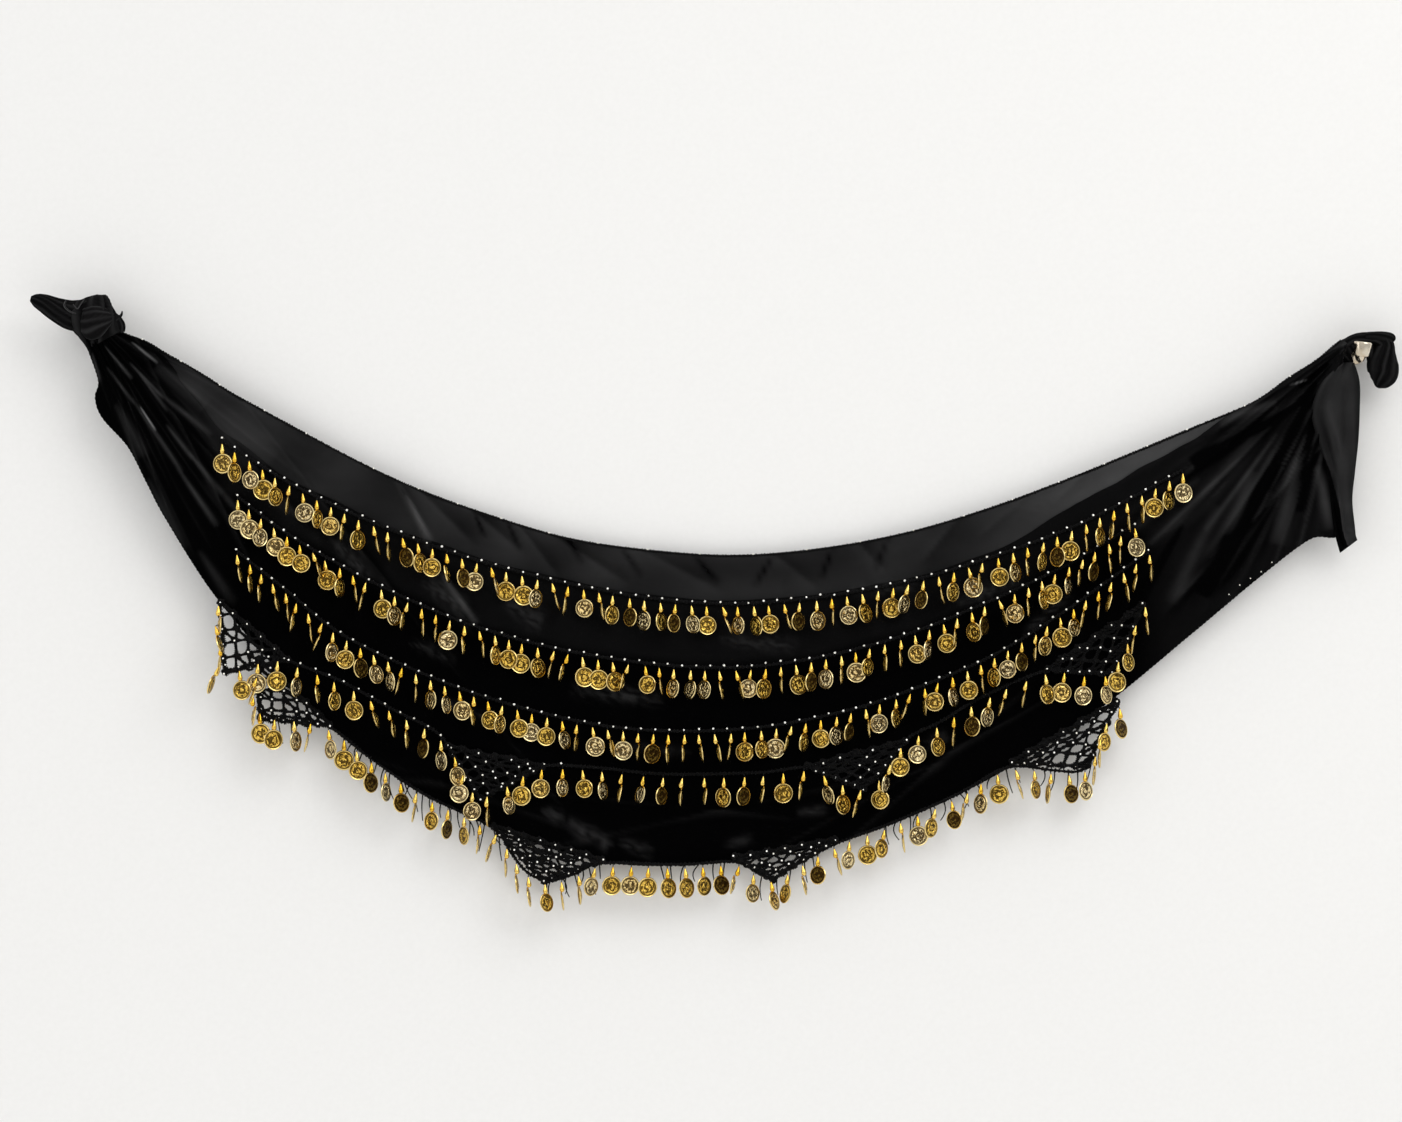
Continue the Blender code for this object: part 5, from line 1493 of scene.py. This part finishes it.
def make_knob_hook(material):
    """The right hook: its arm leaves the wall plate, dips, and turns up into a flared knob."""
    heap = Heap()
    points = []
    uvs = []
    centres = [Vector((ring.x, ring.y, ring.z)) for ring in RIGHT_HOOK]
    length = 0.0
    for index, ring in enumerate(RIGHT_HOOK):
        ahead = centres[min(index + 1, len(centres) - 1)]
        behind = centres[max(index - 1, 0)]
        if index:
            length += (centres[index] - behind).length
        run = (ahead - behind).normalized()
        aside = (Vector((1, 0, 0)) - run * run.x).normalized()
        across = run.cross(aside)
        for k in range(HOOK_STEPS):
            angle = math.tau * k / HOOK_STEPS
            wide = aside * (ring.half_width * math.cos(angle))
            deep = across * (ring.half_depth * math.sin(angle))
            points.append((centres[index] + (wide + deep)) * MM)
            uvs.append((length * MM, k / HOOK_STEPS))
    heap.add(points, ring_faces(len(RIGHT_HOOK), HOOK_STEPS), uvs)
    piece = heap.piece("right_wall_hook", material, "champagne_metal")
    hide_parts("right_hook")
    return piece


def make_peg_hook(material):
    """The left hook, which the knot hides: back plate, straight shaft and flared cap."""
    cap = HOOK_CAP_RADIUS
    shaft = HOOK_SHAFT_RADIUS
    plate = HOOK_PLATE_RADIUS
    length = LEFT_HOOK_LENGTH
    under_cap = LEFT_HOOK_LENGTH - HOOK_CAP_LENGTH
    profile = [
        (0.0, length), (cap - 1.2, length), (cap - 0.3, length - 0.3), (cap, length - 0.9),
        (cap - 0.2, length - 1.7), (shaft + 0.4, under_cap), (shaft, under_cap - 0.8),
        (shaft, HOOK_PLATE_THICKNESS + 0.8),
        (shaft + 0.8, HOOK_PLATE_THICKNESS), (plate - 1.0, HOOK_PLATE_THICKNESS),
        (plate, HOOK_PLATE_THICKNESS - 1.0), (plate, 0.0), (0.0, 0.0),
    ]
    heap = Heap()
    points = []
    uvs = []
    for radius, height in profile:
        for k in range(HOOK_STEPS):
            angle = math.tau * k / HOOK_STEPS
            x = LEFT_HOOK_X + max(radius, 0.02) * math.cos(angle)
            points.append(metres(x, height, LEFT_HOOK_Z + max(radius, 0.02) * math.sin(angle)))
            uvs.append((height * MM, k / HOOK_STEPS))
    heap.add(points, ring_faces(len(profile), HOOK_STEPS, flipped=True), uvs)
    piece = heap.piece("left_wall_hook", material, "champagne_metal")
    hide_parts("left_hook")
    return piece


def add_stage(name, places, material, casts_shadow):
    """One flat sheet of the stage, from its four corners in metres."""
    mesh = bpy.data.meshes.new(name)
    mesh.from_pydata([(x + FRAME_CENTRE_X * MM, y, z) for x, y, z in places], [], [(0, 1, 2, 3)])
    mesh.materials.append(material)
    made = bpy.data.objects.new(name, mesh)
    bpy.context.scene.collection.objects.link(made)
    made.visible_shadow = casts_shadow


def make_stage():
    """The pale wall that the scarf hangs on and the pale floor far below it."""
    side, back, foot, top = WALL_HALF_WIDTH, WALL_BACK, FLOOR_DEPTH, WALL_TOP
    wall = [(-side, back, foot), (side, back, foot), (side, back, top), (-side, back, top)]
    reach = FLOOR_HALF_WIDTH
    floor = [(-reach, -reach, foot), (reach, -reach, foot), (reach, reach, foot), (-reach, reach, foot)]
    add_stage("stage_wall", wall, plaster("pale_wall"), casts_shadow=False)
    add_stage("stage_floor", floor, matt_floor("pale_floor"), casts_shadow=True)


def make_surround():
    """A pale world, brighter above than below."""
    world = bpy.data.worlds.new("studio")
    bpy.context.scene.world = world
    world.use_nodes = True
    nodes = world.node_tree.nodes
    links = world.node_tree.links
    place = nodes.new("ShaderNodeTexCoord")
    split = nodes.new("ShaderNodeSeparateXYZ")
    ramp = nodes.new("ShaderNodeMapRange")
    for socket, value in (("From Min", -0.6), ("From Max", 0.8), ("To Min", 0.10), ("To Max", 1.20)):
        ramp.inputs[socket].default_value = value
    links.new(place.outputs["Generated"], split.inputs[0])
    links.new(split.outputs["Z"], ramp.inputs["Value"])
    links.new(ramp.outputs["Result"], nodes["Background"].inputs["Strength"])
    nodes["Background"].inputs["Color"].default_value = SURROUND_COLOUR


def make_lights():
    """A large soft light from the upper right, a weak one from the left and one for the scarf's back."""
    target = metres(FRAME_CENTRE_X, 0, FRAME_CENTRE_Z)
    for lamp in LAMPS:
        data = bpy.data.lights.new(lamp.name, "AREA")
        data.size = lamp.size
        data.energy = lamp.power
        data.color = lamp.colour
        light = bpy.data.objects.new(lamp.name, data)
        light.location = target + Vector(lamp.offset)
        light.rotation_euler = (target - light.location).to_track_quat("-Z", "Y").to_euler()
        bpy.context.scene.collection.objects.link(light)
    bpy.context.scene.view_settings.view_transform = "Standard"


def make_camera():
    """Straight on, from far enough that the scarf's ends are seen square."""
    data = bpy.data.cameras.new("camera")
    data.sensor_width = CAMERA_SENSOR
    data.lens = CAMERA_LENS
    data.clip_end = CAMERA_REACH
    camera = bpy.data.objects.new("camera", data)
    distance = FRAME_WIDTH * CAMERA_LENS / CAMERA_SENSOR
    camera.location = metres(FRAME_CENTRE_X, SCARF_PLANE + distance, FRAME_CENTRE_Z)
    camera.rotation_euler = (math.radians(90), 0, 0)
    bpy.context.scene.collection.objects.link(camera)
    bpy.context.scene.camera = camera


def make_trims(crochet):
    """The coin rows with their chains, the nets, the edging, the hem and its loose thread ends."""
    gilt = struck_gilt("struck_gilt")
    drop_gilt = polished_gilt("polished_gilt")
    glass = lined_glass("silver_lined_glass")
    drops = Heap()
    threads = Heap()
    seeds = Heap()
    trims = []
    for number, coin_row in enumerate(COIN_ROWS):
        trims.append(hang_coins(coin_row, COIN_SEED + number, gilt, drops, threads))
        trims.append(make_chain(coin_row, CHAIN_SEED + number, crochet, seeds))
    for number, net in enumerate(NETS):
        trims.append(make_net(net, crochet, seeds, NET_SEED + number))
    trims += [make_edging(crochet, seeds), make_rolled_hem(crochet, seeds), make_thread_ends(crochet)]
    trims.append(drops.piece("drop_beads", drop_gilt, "gold_coins"))
    trims.append(threads.piece("coin_threads", crochet, "black_crochet"))
    trims.append(seeds.piece("seed_beads", glass, "gold_coins"))
    return trims


def make_ends(single, double):
    """The gathered ends: knot, band, wraps, tail and turn at the left hook, and the tail at the right."""
    knot_rolls = [
        Roll(LEFT_KNOT, 8, 0.08, 1.2), Roll(KNOT_EAR, 3, 0.10, 0.6),
        Roll(KNOT_NIB, 4, 0.05, 0.5), Roll(KNOT_SIDE, 6, 0.09, 0.9),
    ]
    tail_rolls = [
        Roll(RIGHT_TAIL, 6, 0.10, 1.4), Roll(ROLL_END, 4, 0.06, 0.5), Roll(HOOK_SIDE, 5, 0.06, 0.4),
        Roll(LOBE_FOLD, 4, 0.08, 0.8), Roll(HOOK_UNDER, 4, 0.05, 0.3),
    ]
    wraps = [Roll(TAIL_WRAP_1, 3, 0.03, 0.4), Roll(TAIL_WRAP_2, 3, 0.03, 0.4)]
    loop_rolls = [Roll(loop_rings(), 6, 0.05, 0.0)]
    return [
        make_gather("knotted_chiffon", knot_rolls, 0.35, double, "left_knot"),
        make_gather("knot_band", [Roll(KNOT_BAND, 9, 0.04, 0.3)], 0.40, single),
        make_gather("tail_wraps", wraps, 1.6, double),
        make_gather("left_tail_gather", [Roll(LEFT_TAIL, 9, 0.07, 0.9)], 0.3, double, "left_tail"),
        make_gather("hook_turn_of_chiffon", loop_rolls, 0.3, double, "left_knot_loop"),
        make_gather("right_tail_gather", tail_rolls, 0.34, double, "right_tail"),
    ]


def make_scarf():
    """The whole scarf on its two hooks."""
    single = chiffon("single_chiffon", 0.988, 0.02, 0.002)
    double = chiffon("doubled_chiffon", 0.998, 0.008, 0.0)
    crochet = yarn("black_crochet_yarn", YARN_BLACK, YARN_LAY)
    plating = champagne_plating("champagne_plating")

    panel = make_panel(single)
    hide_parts("scarf_panel")
    overlay = make_overlay(double)
    flap = make_flap(single)
    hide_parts("right_flap")
    trims = make_trims(crochet)
    ends = make_ends(single, double)
    right_hook = make_knob_hook(plating)
    left_hook = make_peg_hook(plating)


make_scarf()
make_stage()
make_surround()
make_lights()
make_camera()
